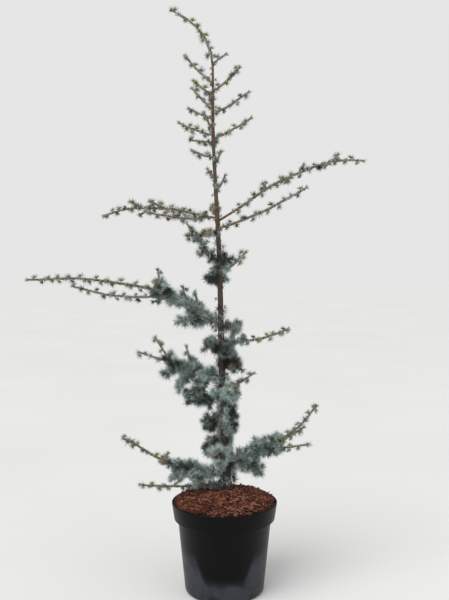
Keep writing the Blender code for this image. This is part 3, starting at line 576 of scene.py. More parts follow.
def shredded_bark(name, dark, light):
    """A bark chip: fibrous, torn along its length, rough and dry."""
    material, tree, shader = new_material(name, dark, 0.9)
    spot = place_of(tree)
    fibre = add_node(tree, "ShaderNodeTexNoise", {"Vector": spot, "Scale": per_metre(2.2), "Detail": 7.0})
    color = add_node(
        tree, "ShaderNodeValToRGB", {"Fac": fibre.outputs["Fac"]}, stops=[(0.36, dark), (0.66, light)]
    )
    tree.links.new(color.outputs["Color"], shader.inputs["Base Color"])
    bump = add_node(
        tree, "ShaderNodeBump", {"Height": fibre.outputs["Fac"], "Strength": 0.6, "Distance": 0.0008}
    )
    tree.links.new(bump.outputs["Normal"], shader.inputs["Normal"])
    return material


def young_bark(name, low_colors, high_colors, levels, flake_mm):
    """Young cedar bark: thin, finely cracked lengthwise, darker and greyer lower down, partly older bark and
    partly painted shade under the foliage.
    """
    material, tree, shader = new_material(name, low_colors[0], 0.82)
    spot = place_of(tree)
    stretch = add_node(tree, "ShaderNodeMapping", {"Vector": spot, "Scale": (1.0, 1.0, 0.28)})
    flakes = add_node(
        tree,
        "ShaderNodeTexNoise",
        {"Vector": stretch.outputs["Vector"], "Scale": per_metre(flake_mm), "Detail": 6.0, "Roughness": 0.62},
    )
    older_and_shaded, new = (
        add_node(
            tree, "ShaderNodeValToRGB", {"Fac": flakes.outputs["Fac"]}, stops=[(0.34, dark), (0.68, light)]
        )
        for dark, light in (low_colors, high_colors)
    )
    # Darker lower down: older bark, and painted shade where the foliage covers the trunk and twigs.
    height = add_node(tree, "ShaderNodeSeparateXYZ", {"Vector": spot})
    rise = add_node(
        tree,
        "ShaderNodeMapRange",
        {"Value": height.outputs["Z"], "From Min": levels[0], "From Max": levels[1]},
    )
    color = add_node(
        tree,
        "ShaderNodeMix",
        {0: rise.outputs["Result"], 6: older_and_shaded.outputs["Color"], 7: new.outputs["Color"]},
        data_type="RGBA",
    )
    tree.links.new(color.outputs[2], shader.inputs["Base Color"])
    bump = add_node(
        tree, "ShaderNodeBump", {"Height": flakes.outputs["Fac"], "Strength": 0.7, "Distance": 0.0008}
    )
    tree.links.new(bump.outputs["Normal"], shader.inputs["Normal"])
    return material


def waxy_needle(name, light, dark):
    """A cedar needle: a stiff green needle under a thin wax bloom, which dulls its gloss."""
    material, tree, shader = new_material(name, light, 0.5, 1.45)
    bloom = add_node(
        tree, "ShaderNodeTexNoise", {"Vector": place_of(tree), "Scale": per_metre(7), "Detail": 3.0}
    )
    color = add_node(
        tree, "ShaderNodeValToRGB", {"Fac": bloom.outputs["Fac"]}, stops=[(0.38, dark), (0.62, light)]
    )
    tree.links.new(color.outputs["Color"], shader.inputs["Base Color"])
    return material


def pale_floor():
    """The studio floor: matt, pale and nearly even."""
    material, tree, shader = new_material("pale_floor", "#f1f2f2", 0.85)
    mottle = add_node(
        tree, "ShaderNodeTexNoise", {"Vector": place_of(tree), "Scale": per_metre(900), "Detail": 2.0}
    )
    color = add_node(
        tree, "ShaderNodeValToRGB", {"Fac": mottle.outputs["Fac"]}, stops=[(0.3, "#f0f0ef"), (0.7, "#f4f4f3")]
    )
    tree.links.new(color.outputs["Color"], shader.inputs["Base Color"])
    return material


def add_camera():
    """The camera at the photograph's viewpoint."""
    data = bpy.data.cameras.new("camera")
    data.sensor_width = SENSOR
    data.lens = CAMERA_LENS
    camera = bpy.data.objects.new("camera", data)
    camera.location = CAMERA_SPOT
    camera.rotation_euler = (math.radians(90 - CAMERA_TIP), 0, 0)
    bpy.context.scene.collection.objects.link(camera)
    bpy.context.scene.camera = camera


def add_light(name, kind, spot, **settings):
    """A soft light aimed at the middle of the tree."""
    data = bpy.data.lights.new(name, kind)
    for setting, value in settings.items():
        setattr(data, setting, value)
    lamp = bpy.data.objects.new(name, data)
    lamp.location = spot
    lamp.rotation_euler = (Vector(MIDDLE) - Vector(spot)).to_track_quat("-Z", "Y").to_euler()
    bpy.context.scene.collection.objects.link(lamp)


def add_studio():
    """Pale floor, even pale surroundings and two soft lights."""
    world = bpy.data.worlds.new("studio")
    world.use_nodes = True
    tree = world.node_tree
    seen = add_node(tree, "ShaderNodeLightPath").outputs["Is Camera Ray"]
    strength = add_node(tree, "ShaderNodeMapRange", {"Value": seen, "To Min": AMBIENT, "To Max": 1.0})
    tree.nodes["Background"].inputs["Color"].default_value = srgb("#e5e6e5")
    tree.links.new(strength.outputs["Result"], tree.nodes["Background"].inputs["Strength"])
    bpy.context.scene.world = world
    bpy.context.scene.view_settings.view_transform = "Standard"
    bpy.ops.mesh.primitive_circle_add(vertices=FLOOR_SIDES, radius=FLOOR_RADIUS, fill_type="NGON")
    floor = bpy.context.object
    floor.name = "floor"
    floor.data.materials.append(pale_floor())
    add_light("key_light", "SUN", KEY_SPOT, angle=math.radians(KEY_SPREAD), energy=KEY_STRENGTH)
    add_light("fill_light", "AREA", FILL_SPOT, size=FILL_SIZE, energy=FILL_WATTS)


def heading(bearing, pitch):
    """Unit vector at a bearing round the trunk and a pitch above level, both in degrees."""
    turn, rise = math.radians(bearing), math.radians(pitch)
    return Vector((math.cos(turn) * math.cos(rise), math.sin(turn) * math.cos(rise), math.sin(rise)))


def smooth_step(value, start, end):
    """0 up to the start, 1 from the end, and an S curve between."""
    share = np.clip((value - start) / (end - start), 0.0, 1.0)
    return share * share * (3 - 2 * share)


def through_three(values, share):
    """The parabola through three values at 0, a half and 1."""
    first, middle, last = values
    near = first * (1 - share) * (1 - 2 * share)
    return near + 4 * middle * share * (1 - share) + last * share * (2 * share - 1)


def trunk_line():
    """Centre points of the trunk and of the leading shoot that goes on from it."""
    points = [Vector(TRUNK_FOOT)]
    for i in range(math.ceil((TRUNK_LENGTH + LEADER_LENGTH) / TRUNK_STEP)):
        along = (i + 0.5) * TRUNK_STEP
        phase = math.tau * along / SWAY_LENGTH
        straight = 1 - smooth_step(along, *LEAN_ENDS)
        tilt = (LEAN + SWAY * math.cos(phase - math.pi / 2)) * straight
        tilt = math.radians(tilt + NOD * smooth_step(along, *NOD_SPAN))
        aside = math.radians(SWAY * math.cos(phase) * straight)
        points.append(points[-1] + TRUNK_STEP * Vector((-math.sin(tilt), math.sin(aside), math.cos(tilt))))
    return points


def trunk_radius(height):
    """Radius of the trunk at a height, with its flare at the mulch."""
    share = min(1.0, (height - TRUNK_FOOT[2]) / TRUNK_LENGTH)
    taper = TOP_RADIUS + (FOOT_RADIUS - TOP_RADIUS) * (1 - share)
    return taper + FLARE_RADIUS * min(1.0, math.exp((FLARE_LEVEL - height) / FLARE_HEIGHT))


def trunk_point(height):
    """The trunk's centre at a height."""
    for low, high in zip(TRUNK_LINE, TRUNK_LINE[1:]):
        if low.z <= height <= high.z:
            return low.lerp(high, (height - low.z) / (high.z - low.z))
    raise ValueError(f"the trunk doesn't reach {height} m")


def limb_line(start, bearing, length, pitches, turn, phase, step):
    """Points of a limb whose pitch runs through three values while its bearing turns, with a wave."""
    steps = max(2, round(length / step))
    points = [Vector(start)]
    for i in range(steps):
        share = (i + 0.5) / steps
        pitch = through_three(pitches, share) + WAVE * math.sin(phase + WAVE_RATES[0] * share)
        aim = bearing + turn * share + WAVE * math.cos(phase + WAVE_RATES[1] * share)
        points.append(points[-1] + heading(aim, pitch) * (length / steps))
    return points


def marks_of(line):
    """Distance from the start to each point of a line."""
    found = [0.0]
    for a, b in zip(line, line[1:]):
        found.append(found[-1] + (b - a).length)
    return found


def along_line(line, distance):
    """The point and the direction at a distance along a line."""
    marks = marks_of(line)
    distance = min(max(distance, 0.0), marks[-1])
    i = next(i for i in range(len(line) - 1) if distance <= marks[i + 1] or i == len(line) - 2)
    share = (distance - marks[i]) / (marks[i + 1] - marks[i])
    return line[i].lerp(line[i + 1], share), (line[i + 1] - line[i]).normalized()


def cut_line(line, start, end):
    """The stretch of a line between two distances along it."""
    inner = [p for p, m in zip(line, marks_of(line)) if start + GAP < m < end - GAP]
    return [along_line(line, start)[0], *inner, along_line(line, end)[0]]


def resample(line, start, end, step):
    """Points at even steps along a stretch of a line."""
    count = max(1, round((end - start) / step))
    return [along_line(line, start + (end - start) * i / count)[0] for i in range(count + 1)]


def tapered(line, first, last):
    """A radius for each point of a line, from the first to the last."""
    marks = marks_of(line)
    return [first + (last - first) * m / marks[-1] for m in marks]


def turned_out(ahead, angle, lean):
    """A direction out from a twig at an angle round it, and the same leaning forward."""
    side = ahead.orthogonal().normalized()
    out = side * math.cos(angle) + ahead.cross(side) * math.sin(angle)
    return out, (out + ahead * lean).normalized()


def places_round(line, start, end, step, dice, spread=STEP_SPREAD, stray=STRAY, first=None):
    """Places at uneven steps along a line: distance, point, direction and the angle out from it."""
    distance = start
    count = dice.randrange(FIRST_BEARINGS) if first is None else first
    while distance < end:
        point, ahead = along_line(line, distance)
        yield distance, point, ahead, math.radians(GOLDEN_ANGLE * count + dice.uniform(-stray, stray))
        distance += step * dice.uniform(*spread)
        count += 1


class Space:
    """The room that is taken, as capsules, each marked with its mass and its twig."""

    def __init__(self, size=6000):
        self.starts = np.zeros((size, 3))
        self.ends = np.zeros((size, 3))
        self.radii = np.zeros(size)
        self.masses = np.zeros(size, int)
        self.twigs = np.zeros(size, int)
        self.names = {}
        self.count = 0

    def number(self, mass):
        return self.names.setdefault(mass, len(self.names))

    def add_line(self, mass, twig, line, radii):
        for a, b, radius in zip(line, line[1:], radii):
            i = self.count
            self.starts[i], self.ends[i], self.radii[i] = a, b, radius
            self.masses[i], self.twigs[i] = self.number(mass), twig
            self.count += 1

    def clear(self, mass, twig, start, end, radius):
        """Whether a capsule keeps its gap to other masses and doesn't cross other twigs of its own."""
        n = self.count
        spots = np.linspace(np.array(start), np.array(end), CLEARANCE_SPOTS)[:, None, :]
        a, run = self.starts[:n], self.ends[:n] - self.starts[:n]
        share = ((spots - a) * run).sum(2) / np.maximum((run * run).sum(1), 1e-12)
        nearest = a + np.clip(share, 0, 1)[..., None] * run
        room = np.linalg.norm(spots - nearest, axis=2).min(0) - self.radii[:n] - radius
        own = self.masses[:n] == self.number(mass)
        others_clear = room[~own].min(initial=1) > 2 * GAP
        return others_clear and room[own & (self.twigs[:n] != twig)].min(initial=1) > 0


# One twig of a mass: its number, line, radii and the stretch with dense needles.
Twig = namedtuple("Twig", "number line radii lush_from lush_to")
# What grows into one mass of foliage.
Mass = namedtuple("Mass", "name limb twigs")


def stem_of(limb, line):
    """A limb's foliage-bearing stem: short steps where its needles are dense, long ones beyond."""
    whole = marks_of(line)[-1]
    start = limb.bare * whole + GAP if limb.bare else 0.0
    dense_to = max(limb.lush * whole, start)
    points = [along_line(line, start)[0]]
    if dense_to - start > CORE_STEP:
        points = resample(line, start, dense_to, CORE_STEP)
    if whole - dense_to > BARE_STEP / 2:
        points = points[:-1] + resample(line, dense_to, whole, BARE_STEP)
    radii = [limb.radius + (TIP_RADIUS - limb.radius) * (start + m) / whole for m in marks_of(points)]
    first = BARE_ROOT if limb.bare else trunk_radius(limb.height) + BARE_ROOT
    lush_to = dense_to - start if dense_to < whole else whole + GAP
    return Twig(0, points, radii, first, max(first, lush_to))


def limb_of(shoot, radius, lush, fan, needle):
    """A short shoot, written as a limb with no bare part."""
    pitches = (shoot.pitch - SHOOT_BEND, shoot.pitch, shoot.pitch + SHOOT_BEND)
    return Limb(shoot.height, shoot.bearing, shoot.length, pitches, 0, radius, 0.0, lush, fan, needle)


def all_limbs():
    """Every limb by name: the long branches first, then the short shoots."""
    limbs = dict(BRANCHES)
    for i, shoot in enumerate(INNER):
        limbs[f"inner_{i + 1:02d}"] = limb_of(shoot, INNER_RADIUS, 1.0, INNER_FAN, INNER_NEEDLE)
    for i, shoot in enumerate(UPPER):
        limbs[f"shoot_{i + 1:02d}"] = limb_of(shoot, UPPER_RADIUS, 0.0, 0.0, ROSETTE_REACH)
    return limbs


def limb_path(name, limb):
    """The centre line of a limb, from the trunk's axis to its tip."""
    phase = random.Random(name).uniform(0, LAST_PHASE)
    root = trunk_point(limb.height)
    length = limb.length + trunk_radius(limb.height)
    return limb_line(root, limb.bearing, length, limb.pitches, limb.turn, phase, BARE_STEP)


def lay_fork(mass, line, fork):
    """A named fork of a branch, as a twig of its mass."""
    start = along_line(line, fork.at * marks_of(line)[-1])[0]
    phase = random.Random(f"{fork.branch} {fork.bearing}").uniform(0, LAST_PHASE)
    step = CORE_STEP if fork.lush > DENSE_FORK else BARE_STEP
    path = limb_line(start, fork.bearing, fork.length, fork.pitches, 0, phase, step)
    radii = tapered(path, FORK_RADIUS, TIP_RADIUS)
    number = len(mass.twigs)
    SPACE.add_line(mass.name, number, cut_line(path, BARE_ROOT, fork.length), radii)
    mass.twigs.append(Twig(number, path, radii, BARE_ROOT, max(BARE_ROOT, fork.lush * fork.length)))


def lay_side_twigs(mass):
    """Twigs on a stem's dense stretch, all round it by turns and shorter towards its end."""
    if not mass.limb.fan:
        return
    stem = mass.twigs[0]
    dice = random.Random(mass.name)
    start = stem.lush_from + TWIG_SPACING * FIRST_TWIG
    end = min(stem.lush_to, marks_of(stem.line)[-1])
    places = places_round(stem.line, start, end, TWIG_SPACING, dice, SPACING_SPREAD, TWIG_STRAY)
    for distance, point, ahead, angle in places:
        _, aim = turned_out(ahead, angle, dice.uniform(*TWIG_LEAN))
        bearing, pitch = math.degrees(math.atan2(aim.y, aim.x)), math.degrees(math.asin(aim.z))
        length = mass.limb.fan * (1 - FAN_TAPER * distance / end) * dice.uniform(*TWIG_LENGTHS)
        length = max(SHORTEST_TWIG, length * (1 - FAN_FLATNESS * abs(aim.z)))
        pitches = (pitch, pitch, pitch * TWIG_LEVELLING)
        path = limb_line(point, bearing, length, pitches, 0, distance, CORE_STEP)
        if not lay_twig(mass, path):
            straight = (pitch, pitch, pitch)
            path = limb_line(point, bearing, length * SECOND_TRY, straight, 0, distance, CORE_STEP)
            lay_twig(mass, path)


def lay_twig(mass, path):
    """Adds a dense twig to a mass where its line is clear of everything else."""
    number = len(mass.twigs)
    free = cut_line(path, BARE_ROOT, marks_of(path)[-1])
    room = TWIG_RADIUS + NEEDLE_THICKNESS
    for a, b in zip(free, free[1:]):
        if not (above_mulch(b, TWIG_ROOM) and SPACE.clear(mass.name, number, a, b, room)):
            return False
    SPACE.add_line(mass.name, number, free, [TWIG_RADIUS] * len(free))
    radii = tapered(path, TWIG_RADIUS, TIP_RADIUS)
    mass.twigs.append(Twig(number, path, radii, BARE_ROOT, marks_of(path)[-1] + GAP))
    return True


def lay_limbs(limbs):
    """Lays every bough and stem, then forks and side twigs."""
    masses, boughs, lines = [], [], {}
    for name, limb in limbs.items():
        line = lines[name] = limb_path(name, limb)
        stem = stem_of(limb, line)
        masses.append(Mass(name, limb, [stem]))
        if limb.bare:
            bough = cut_line(line, 0, limb.bare * marks_of(line)[-1])
            radii = tapered(bough, limb.radius, stem.radii[0])
            boughs.append((f"bough_{name}", bough, radii))
            SPACE.add_line(f"bough_{name}", 0, bough, radii)
            SPACE.add_line(name, 0, stem.line, stem.radii)
        else:
            clear = cut_line(stem.line, trunk_radius(limb.height), marks_of(stem.line)[-1])
            SPACE.add_line(name, 0, clear, [limb.radius] * len(clear))
    for mass in masses:
        for fork in FORKS:
            if fork.branch == mass.name:
                lay_fork(mass, lines[mass.name], fork)
    for mass in masses:
        lay_side_twigs(mass)
    return masses, boughs


def leader_mass():
    """The leading shoot, which goes on from the trunk's tip and nods to the left."""
    line = cut_line(TRUNK_LINE, TRUNK_LENGTH + GAP, TRUNK_LENGTH + LEADER_LENGTH)
    radii = tapered(line, TOP_RADIUS, TIP_RADIUS)
    SPACE.add_line("leader", 0, line, radii)
    limb = Limb(TRUNK_LENGTH, 0, LEADER_LENGTH, (0, 0, 0), 0, TOP_RADIUS, 1.0, 0.0, 0.0, ROSETTE_REACH)
    return Mass("leader", limb, [Twig(0, line, radii, 0.0, 0.0)])


def wall_inside():
    """The pot's inner wall from the floor up, as (radius, height) points."""
    band_foot = POT_HEIGHT - BAND_HEIGHT
    return [
        (BASE_RADIUS - BASE_ROUND, POT_WALL),
        (BASE_RADIUS - POT_WALL, BASE_ROUND),
        (BODY_RADIUS - POT_WALL, band_foot - BAND_LEDGE / 2),
        (BAND_FOOT_RADIUS - BAND_LEDGE - POT_WALL, band_foot + BAND_LEDGE),
        (RIM_RADIUS - 2 * RIM_ROUND - GAP, POT_HEIGHT - RIM_ROUND),
    ]


def inner_radius(height):
    """Radius of the pot's inner wall at a height."""
    radii, heights = zip(*wall_inside())
    return np.interp(height, heights, radii)


def mulch_height(x, y):
    """Height of the bark mulch, a mound with small lumps; below that, the rim and the ground."""
    radius = np.hypot(x, y)
    edge = inner_radius(MULCH_EDGE) - GAP
    mound = (MULCH_TOP - MULCH_EDGE) * (1 - np.minimum(radius / edge, 1) ** MOUND_POWER)
    (wide_x, wide_y), (fine_x, fine_y) = MULCH_WAVES
    lumps = np.sin(wide_x * x + MULCH_PHASE) * np.cos(wide_y * y)
    lumps = lumps + np.sin(fine_x * (x - y)) * np.cos(fine_y * (x + y))
    inside = MULCH_EDGE + mound + MULCH_LUMP * lumps * smooth_step(edge - radius, 0, MULCH_FADE)
    return np.where(radius > edge, np.where(radius < RIM_RADIUS, POT_HEIGHT, 0.0), inside)


def above_mulch(point, room):
    """Whether a point is above the mulch and the pot's rim."""
    return point.z > mulch_height(point.x, point.y) + room or math.hypot(*point.xy) > RIM_RADIUS + room


def new_piece(name, vertices, faces, materials, kinds=None, smooth=True):
    """A mesh object that rides on the only body, with a material for each face."""
    mesh = bpy.data.meshes.new(name)
    mesh.from_pydata(vertices, [], faces)
    for material in materials:
        mesh.materials.append(material)
    if kinds is not None:
        mesh.polygons.foreach_set("material_index", np.asarray(kinds, np.int32))
    if smooth:
        mesh.shade_smooth()
    mesh.update()
    thing = bpy.data.objects.new(name, mesh)
    bpy.context.scene.collection.objects.link(thing)
    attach(thing, "root")
    return thing


def loft(line, radii, sides):
    """Rings of points round a line, carried along it without a twist, as (rings, outward directions)."""
    ahead = [(b - a).normalized() for a, b in zip(line, line[1:])]
    ahead.append(ahead[-1])
    side = ahead[0].orthogonal().normalized()
    angles = np.linspace(0, math.tau, sides, endpoint=False)
    rings, outs = [], []
    for i, point in enumerate(line):
        if i:
            side.rotate(ahead[i - 1].rotation_difference(ahead[i]))
        other = ahead[i].cross(side)
        out = np.outer(np.cos(angles), np.array(side)) + np.outer(np.sin(angles), np.array(other))
        rings.append(np.array(point) + out * radii[i])
        outs.append(out)
    return np.array(rings), np.array(outs)


def tube_mesh(rings, first=0):
    """Vertices and faces of a closed tube through rings of points, with its corners numbered from a start."""
    count, sides, _ = rings.shape
    faces = []
    for i in range(count - 1):
        low, high = first + i * sides, first + (i + 1) * sides
        for k in range(sides):
            after = (k + 1) % sides
            faces.append((low + k, low + after, high + after, high + k))
    faces.append(tuple(first + k for k in reversed(range(sides))))
    faces.append(tuple(first + (count - 1) * sides + k for k in range(sides)))
    return rings.reshape(-1, 3), faces


def join_tubes(tubes):
    """One set of vertices and faces from several tubes' rings."""
    vertices, faces, total = [], [], 0
    for rings in tubes:
        more, sides = tube_mesh(rings, total)
        vertices.append(more)
        faces.extend(sides)
        total += len(more)
    return np.concatenate(vertices), faces


def barked(line, radii, relief, knots=()):
    """Rings of a limb with bark relief: lengthwise cracks, low swellings, and a collar at each knot."""
    rings, outs = loft(line, radii, relief.sides)
    wide, narrow = CRACK_RATES
    for i, (ring, out) in enumerate(zip(rings, outs)):
        collar = sum(COLLAR_SIZE * math.exp(-(((ring[0][2] - knot) / COLLAR_HEIGHT) ** 2)) for knot in knots)
        for k in range(relief.sides):
            spot = Vector(out[k]) * CRACKS_ROUND + Vector((0, 0, ring[k][2] / CRACK_LENGTH))
            crack = noise.noise(spot * wide) + 0.5 * noise.noise(spot * narrow)
            swell = noise.noise(Vector(out[k]) * SWELLS_ROUND + Vector((0, 0, ring[k][2] / SWELL_LENGTH)))
            ring[k] += out[k] * (relief.ridge * crack + radii[i] * (SWELL_SIZE * swell + collar))
    return rings


def fine_line(line, radii, step):
    """A line and its radii at short even steps."""
    marks = marks_of(line)
    points = resample(line, 0, marks[-1], step)
    spots = np.linspace(0, marks[-1], len(points))
    return points, np.interp(spots, marks, radii)


def frames_of(axes):
    """Two directions square to each axis and to each other."""
    helper = np.where(np.abs(axes[:, 2:3]) < 0.9, (0.0, 0.0, 1.0), (1.0, 0.0, 0.0))
    sides = np.cross(axes, helper)
    sides /= np.linalg.norm(sides, axis=1, keepdims=True)
    return sides, np.cross(axes, sides)


def spindles(roots, tips, bends, widths):
    """Slim closed spindles: a root, a ring of three corners at the widest place, and a tip."""
    run = tips - roots
    ahead = run / np.linalg.norm(run, axis=1, keepdims=True)
    side, other = frames_of(ahead)
    middle = roots + run * NEEDLE_WIDEST + bends
    half = (widths / 2)[:, None]
    corners = []
    for k in range(NEEDLE_SIDES):
        angle = math.tau * k / NEEDLE_SIDES
        corners.append(middle + (side * math.cos(angle) + other * math.sin(angle)) * half)
    vertices = np.stack([roots, *corners, tips], axis=1)
    last = NEEDLE_SIDES + 1
    one = []
    for k in range(NEEDLE_SIDES):
        near, after = 1 + k, 1 + (k + 1) % NEEDLE_SIDES
        one += [(0, after, near), (near, after, last)]
    starts = np.arange(len(roots)) * (last + 1)
    faces = (starts[:, None, None] + np.array(one)[None]).reshape(-1, 3)
    return vertices.reshape(-1, 3), faces, len(one)


# A spray of needles: where it sits, its axis, needle length and count, how far it opens, and its mixture of
# colours.
Spray = namedtuple("Spray", "spot axis reach count opening kinds")


def dense_kinds(mass, spot, shade):
    """Which mixture of needle colours grows at a dense place: random patches, with painted light and painted
    shade by group and by closeness to a stem.
    """
    if mass.name == "low_left" and YELLOW_STRETCH[0] < spot.x < YELLOW_STRETCH[1]:
        return "yellow"
    if group_of(mass.name) in ("high", "rising"):
        return "airy"
    # The tone is random patches plus painted shade near stems and in the inner group, and painted light on
    # fine twigs and in the low and mid groups.
    tone = noise.noise(spot / PATCH_SIZE) + shade + GROUP_LIGHTS.get(group_of(mass.name), 0)
    if tone < SHADED_TO:
        return "shaded"
    if tone > BRIGHT_FROM:
        return "bright"
    return "column" if group_of(mass.name) == "inner" else "even"


def sparse_kinds(mass, spot):
    """Which mixture of needle colours grows at a sparse place."""
    if group_of(mass.name) in ("leader", "shoot", "small"):
        return "young"
    if mass.name == "low_left":
        return "yellow" if spot.x > YELLOW_STRETCH[0] else "young"
    return "young" if mass.name == "low_right" and spot.z > YOUNG_ABOVE else "sparse"


def slimmed(mass, spot):
    """The share of its full length that dense growth has there: less towards the end of its stretch."""
    if mass.name not in SLIMMING:
        return 1.0
    limb = mass.limb
    share = (spot - trunk_point(limb.height)).length / (limb.lush * limb.length)
    return 1 - SLIMMING[mass.name] * float(smooth_step(share, SLIM_FROM, 1.0))


def fine_twigs(mass, line, start, end, spacing, dice):
    """Short twigs all round a dense stretch of a line, as lines of their own."""
    length = FINE_LENGTH * mass.limb.needle / INNER_NEEDLE
    found = []
    for _, point, ahead, angle in places_round(line, start, end, spacing, dice):
        _, axis = turned_out(ahead, angle, FINE_LEAN)
        reach = length * slimmed(mass, point) * dice.uniform(*FINE_LENGTHS)
        curl = Vector([dice.uniform(-FINE_CURL, FINE_CURL) for _ in range(3)])
        middle = point + axis * reach / 2
        tip = middle + (axis + curl).normalized() * reach / 2
        if above_mulch(tip, FINE_ROOM):
            found.append([point, middle, tip])
    return found


def sprays_on_fine(mass, line, dice):
    """Crowded sprays all along a fine twig, and one at its tip."""
    longest = mass.limb.needle * FINE_NEEDLE
    found = []
    for _, point, ahead, angle in places_round(line, DENSE_STEP, marks_of(line)[-1], DENSE_STEP, dice):
        _, axis = turned_out(ahead, angle, FINE_NEEDLE_LEAN)
        # Sprays on a fine twig get painted light.
        kinds = dense_kinds(mass, point, TWIG_LIGHT)
        reach = longest * slimmed(mass, point) * dice.uniform(*FINE_NEEDLE_LENGTHS)
        found.append(Spray(point, axis, reach, DENSE_COUNT, DENSE_OPENING, kinds))
    ahead = (line[-1] - line[-2]).normalized()
    # The tip spray of a fine twig gets twice the painted light.
    kinds = dense_kinds(mass, line[-1], 2 * TWIG_LIGHT)
    reach = longest * slimmed(mass, line[-1]) * TIP_SHARE
    found.append(Spray(line[-1], ahead, reach, TIP_COUNT, DENSE_OPENING, kinds))
    return found


def dense_sprays(mass, twig, dice):
    """Crowded sprays along the dense stretch of a twig."""
    whole = marks_of(twig.line)[-1]
    start, end = twig.lush_from * DENSE_START, min(twig.lush_to, whole - TIP_SETBACK)
    found = []
    for distance, point, ahead, angle in places_round(twig.line, start, end, DENSE_STEP, dice):
        out, axis = turned_out(ahead, angle, dice.uniform(*DENSE_LEAN))
        spot = point + out * radius_at(twig, distance / whole)
        reach = mass.limb.needle * slimmed(mass, spot) * dice.uniform(*DENSE_LENGTHS)
        # Sprays on the twig itself, close to its stem, get painted shade.
        kinds = dense_kinds(mass, spot, STEM_SHADE)
        found.append(Spray(spot, axis, reach, DENSE_COUNT, DENSE_OPENING, kinds))
    return found


def radius_at(twig, share):
    """Radius of a twig at a share of its length."""
    return float(np.interp(share, (0, 1), (twig.radii[0], twig.radii[-1])))


def sparse_sprays(mass, twig, dice):
    """Clusters on small spurs beyond the dense stretch of a twig, and single needles that clothe it."""
    line, whole = twig.line, marks_of(twig.line)[-1]
    start = max(twig.lush_to, twig.lush_from * SPARSE_START)
    near, far = start + CLUSTER_STEP * CLUSTER_START, whole - CLUSTER_END
    found, first = [], dice.randrange(FIRST_BEARINGS)
    clusters = places_round(line, near, far, CLUSTER_STEP, dice, CLUSTER_SPREAD, CLUSTER_STRAY, first)
    for distance, point, ahead, angle in clusters:
        out, axis = turned_out(ahead, angle, dice.uniform(*CLUSTER_LEAN))
        spot = point + out * radius_at(twig, distance / whole) + axis * SPUR_LENGTH
        reach = CLUSTER_REACH * dice.uniform(*CLUSTER_LENGTHS)
        found.append(Spray(spot, axis, reach, CLUSTER_COUNT, CLUSTER_OPENING, sparse_kinds(mass, spot)))
        SPURS.append((point, spot))
    distance, count = start, first + len(found)
    while distance < whole:
        point, ahead = along_line(line, distance)
        single = SPIKY if spiky_at(mass, point) else CLOTHING
        lean = single.lean * dice.uniform(*SINGLE_LEANS)
        out, axis = turned_out(ahead, math.radians(GOLDEN_ANGLE * count), lean)
        spot = point + out * radius_at(twig, distance / whole) * SINGLE_DEPTH
        reach = single.reach * dice.uniform(*SINGLE_LENGTHS)
        found.append(Spray(spot, axis, reach, single.count, single.opening, sparse_kinds(mass, spot)))
        distance += SINGLE_STEP
        count += 1
    return found


def spiky_at(mass, spot):
    """Whether single needles are long there, as they are near the roots of the high branches."""
    return (spot - trunk_point(mass.limb.height)).length < SPIKY_WITHIN.get(mass.name, 0)


def sprays_on(mass, twig, dice):
    """Every spray of one twig, with one at its tip."""
    whole = marks_of(twig.line)[-1]
    found = dense_sprays(mass, twig, dice) + sparse_sprays(mass, twig, dice)
    tip, ahead = along_line(twig.line, whole)
    dense = whole <= twig.lush_to
    reach = mass.limb.needle * TIP_SHARE if dense else CLUSTER_REACH
    # A dense tip gets painted light.
    kinds = dense_kinds(mass, tip, TWIG_LIGHT) if dense else sparse_kinds(mass, tip)
    found.append(Spray(tip - ahead * TIP_SETBACK, ahead, reach, TIP_COUNT, TIP_OPENING, kinds))
    return found


def sprays_on_trunk():
    """Sprays on short spurs of the trunk itself, by the group that they join."""
    dice = random.Random("trunk spurs")
    found, count = {"inner": [], "shoot": []}, 0
    for spurs in TRUNK_SPURS:
        height = spurs.low
        while height < spurs.high:
            out = heading(GOLDEN_ANGLE * count + dice.uniform(-STRAY, STRAY), 0)
            axis = (out + Vector((0, 0, dice.uniform(*TRUNK_SPUR_RISE)))).normalized()
            root = trunk_point(height)
            spot = root + out * trunk_radius(height) + axis * SPUR_LENGTH * TRUNK_SPUR_SHARE
            tone = noise.noise(spot / PATCH_SIZE)
            kinds = "bright" if tone > BRIGHT_FROM else "shaded" if tone < SHADED_TO else "column"
            if spurs.group == "shoot":
                kinds = "young"
            reach = spurs.reach * dice.uniform(*TRUNK_SPUR_REACH)
            found[spurs.group].append(Spray(spot, axis, reach, spurs.count, DENSE_OPENING, kinds))
            SPURS.append((root, spot))
            height += spurs.step * dice.uniform(*TRUNK_SPUR_SPREAD)
            count += 1
    return found


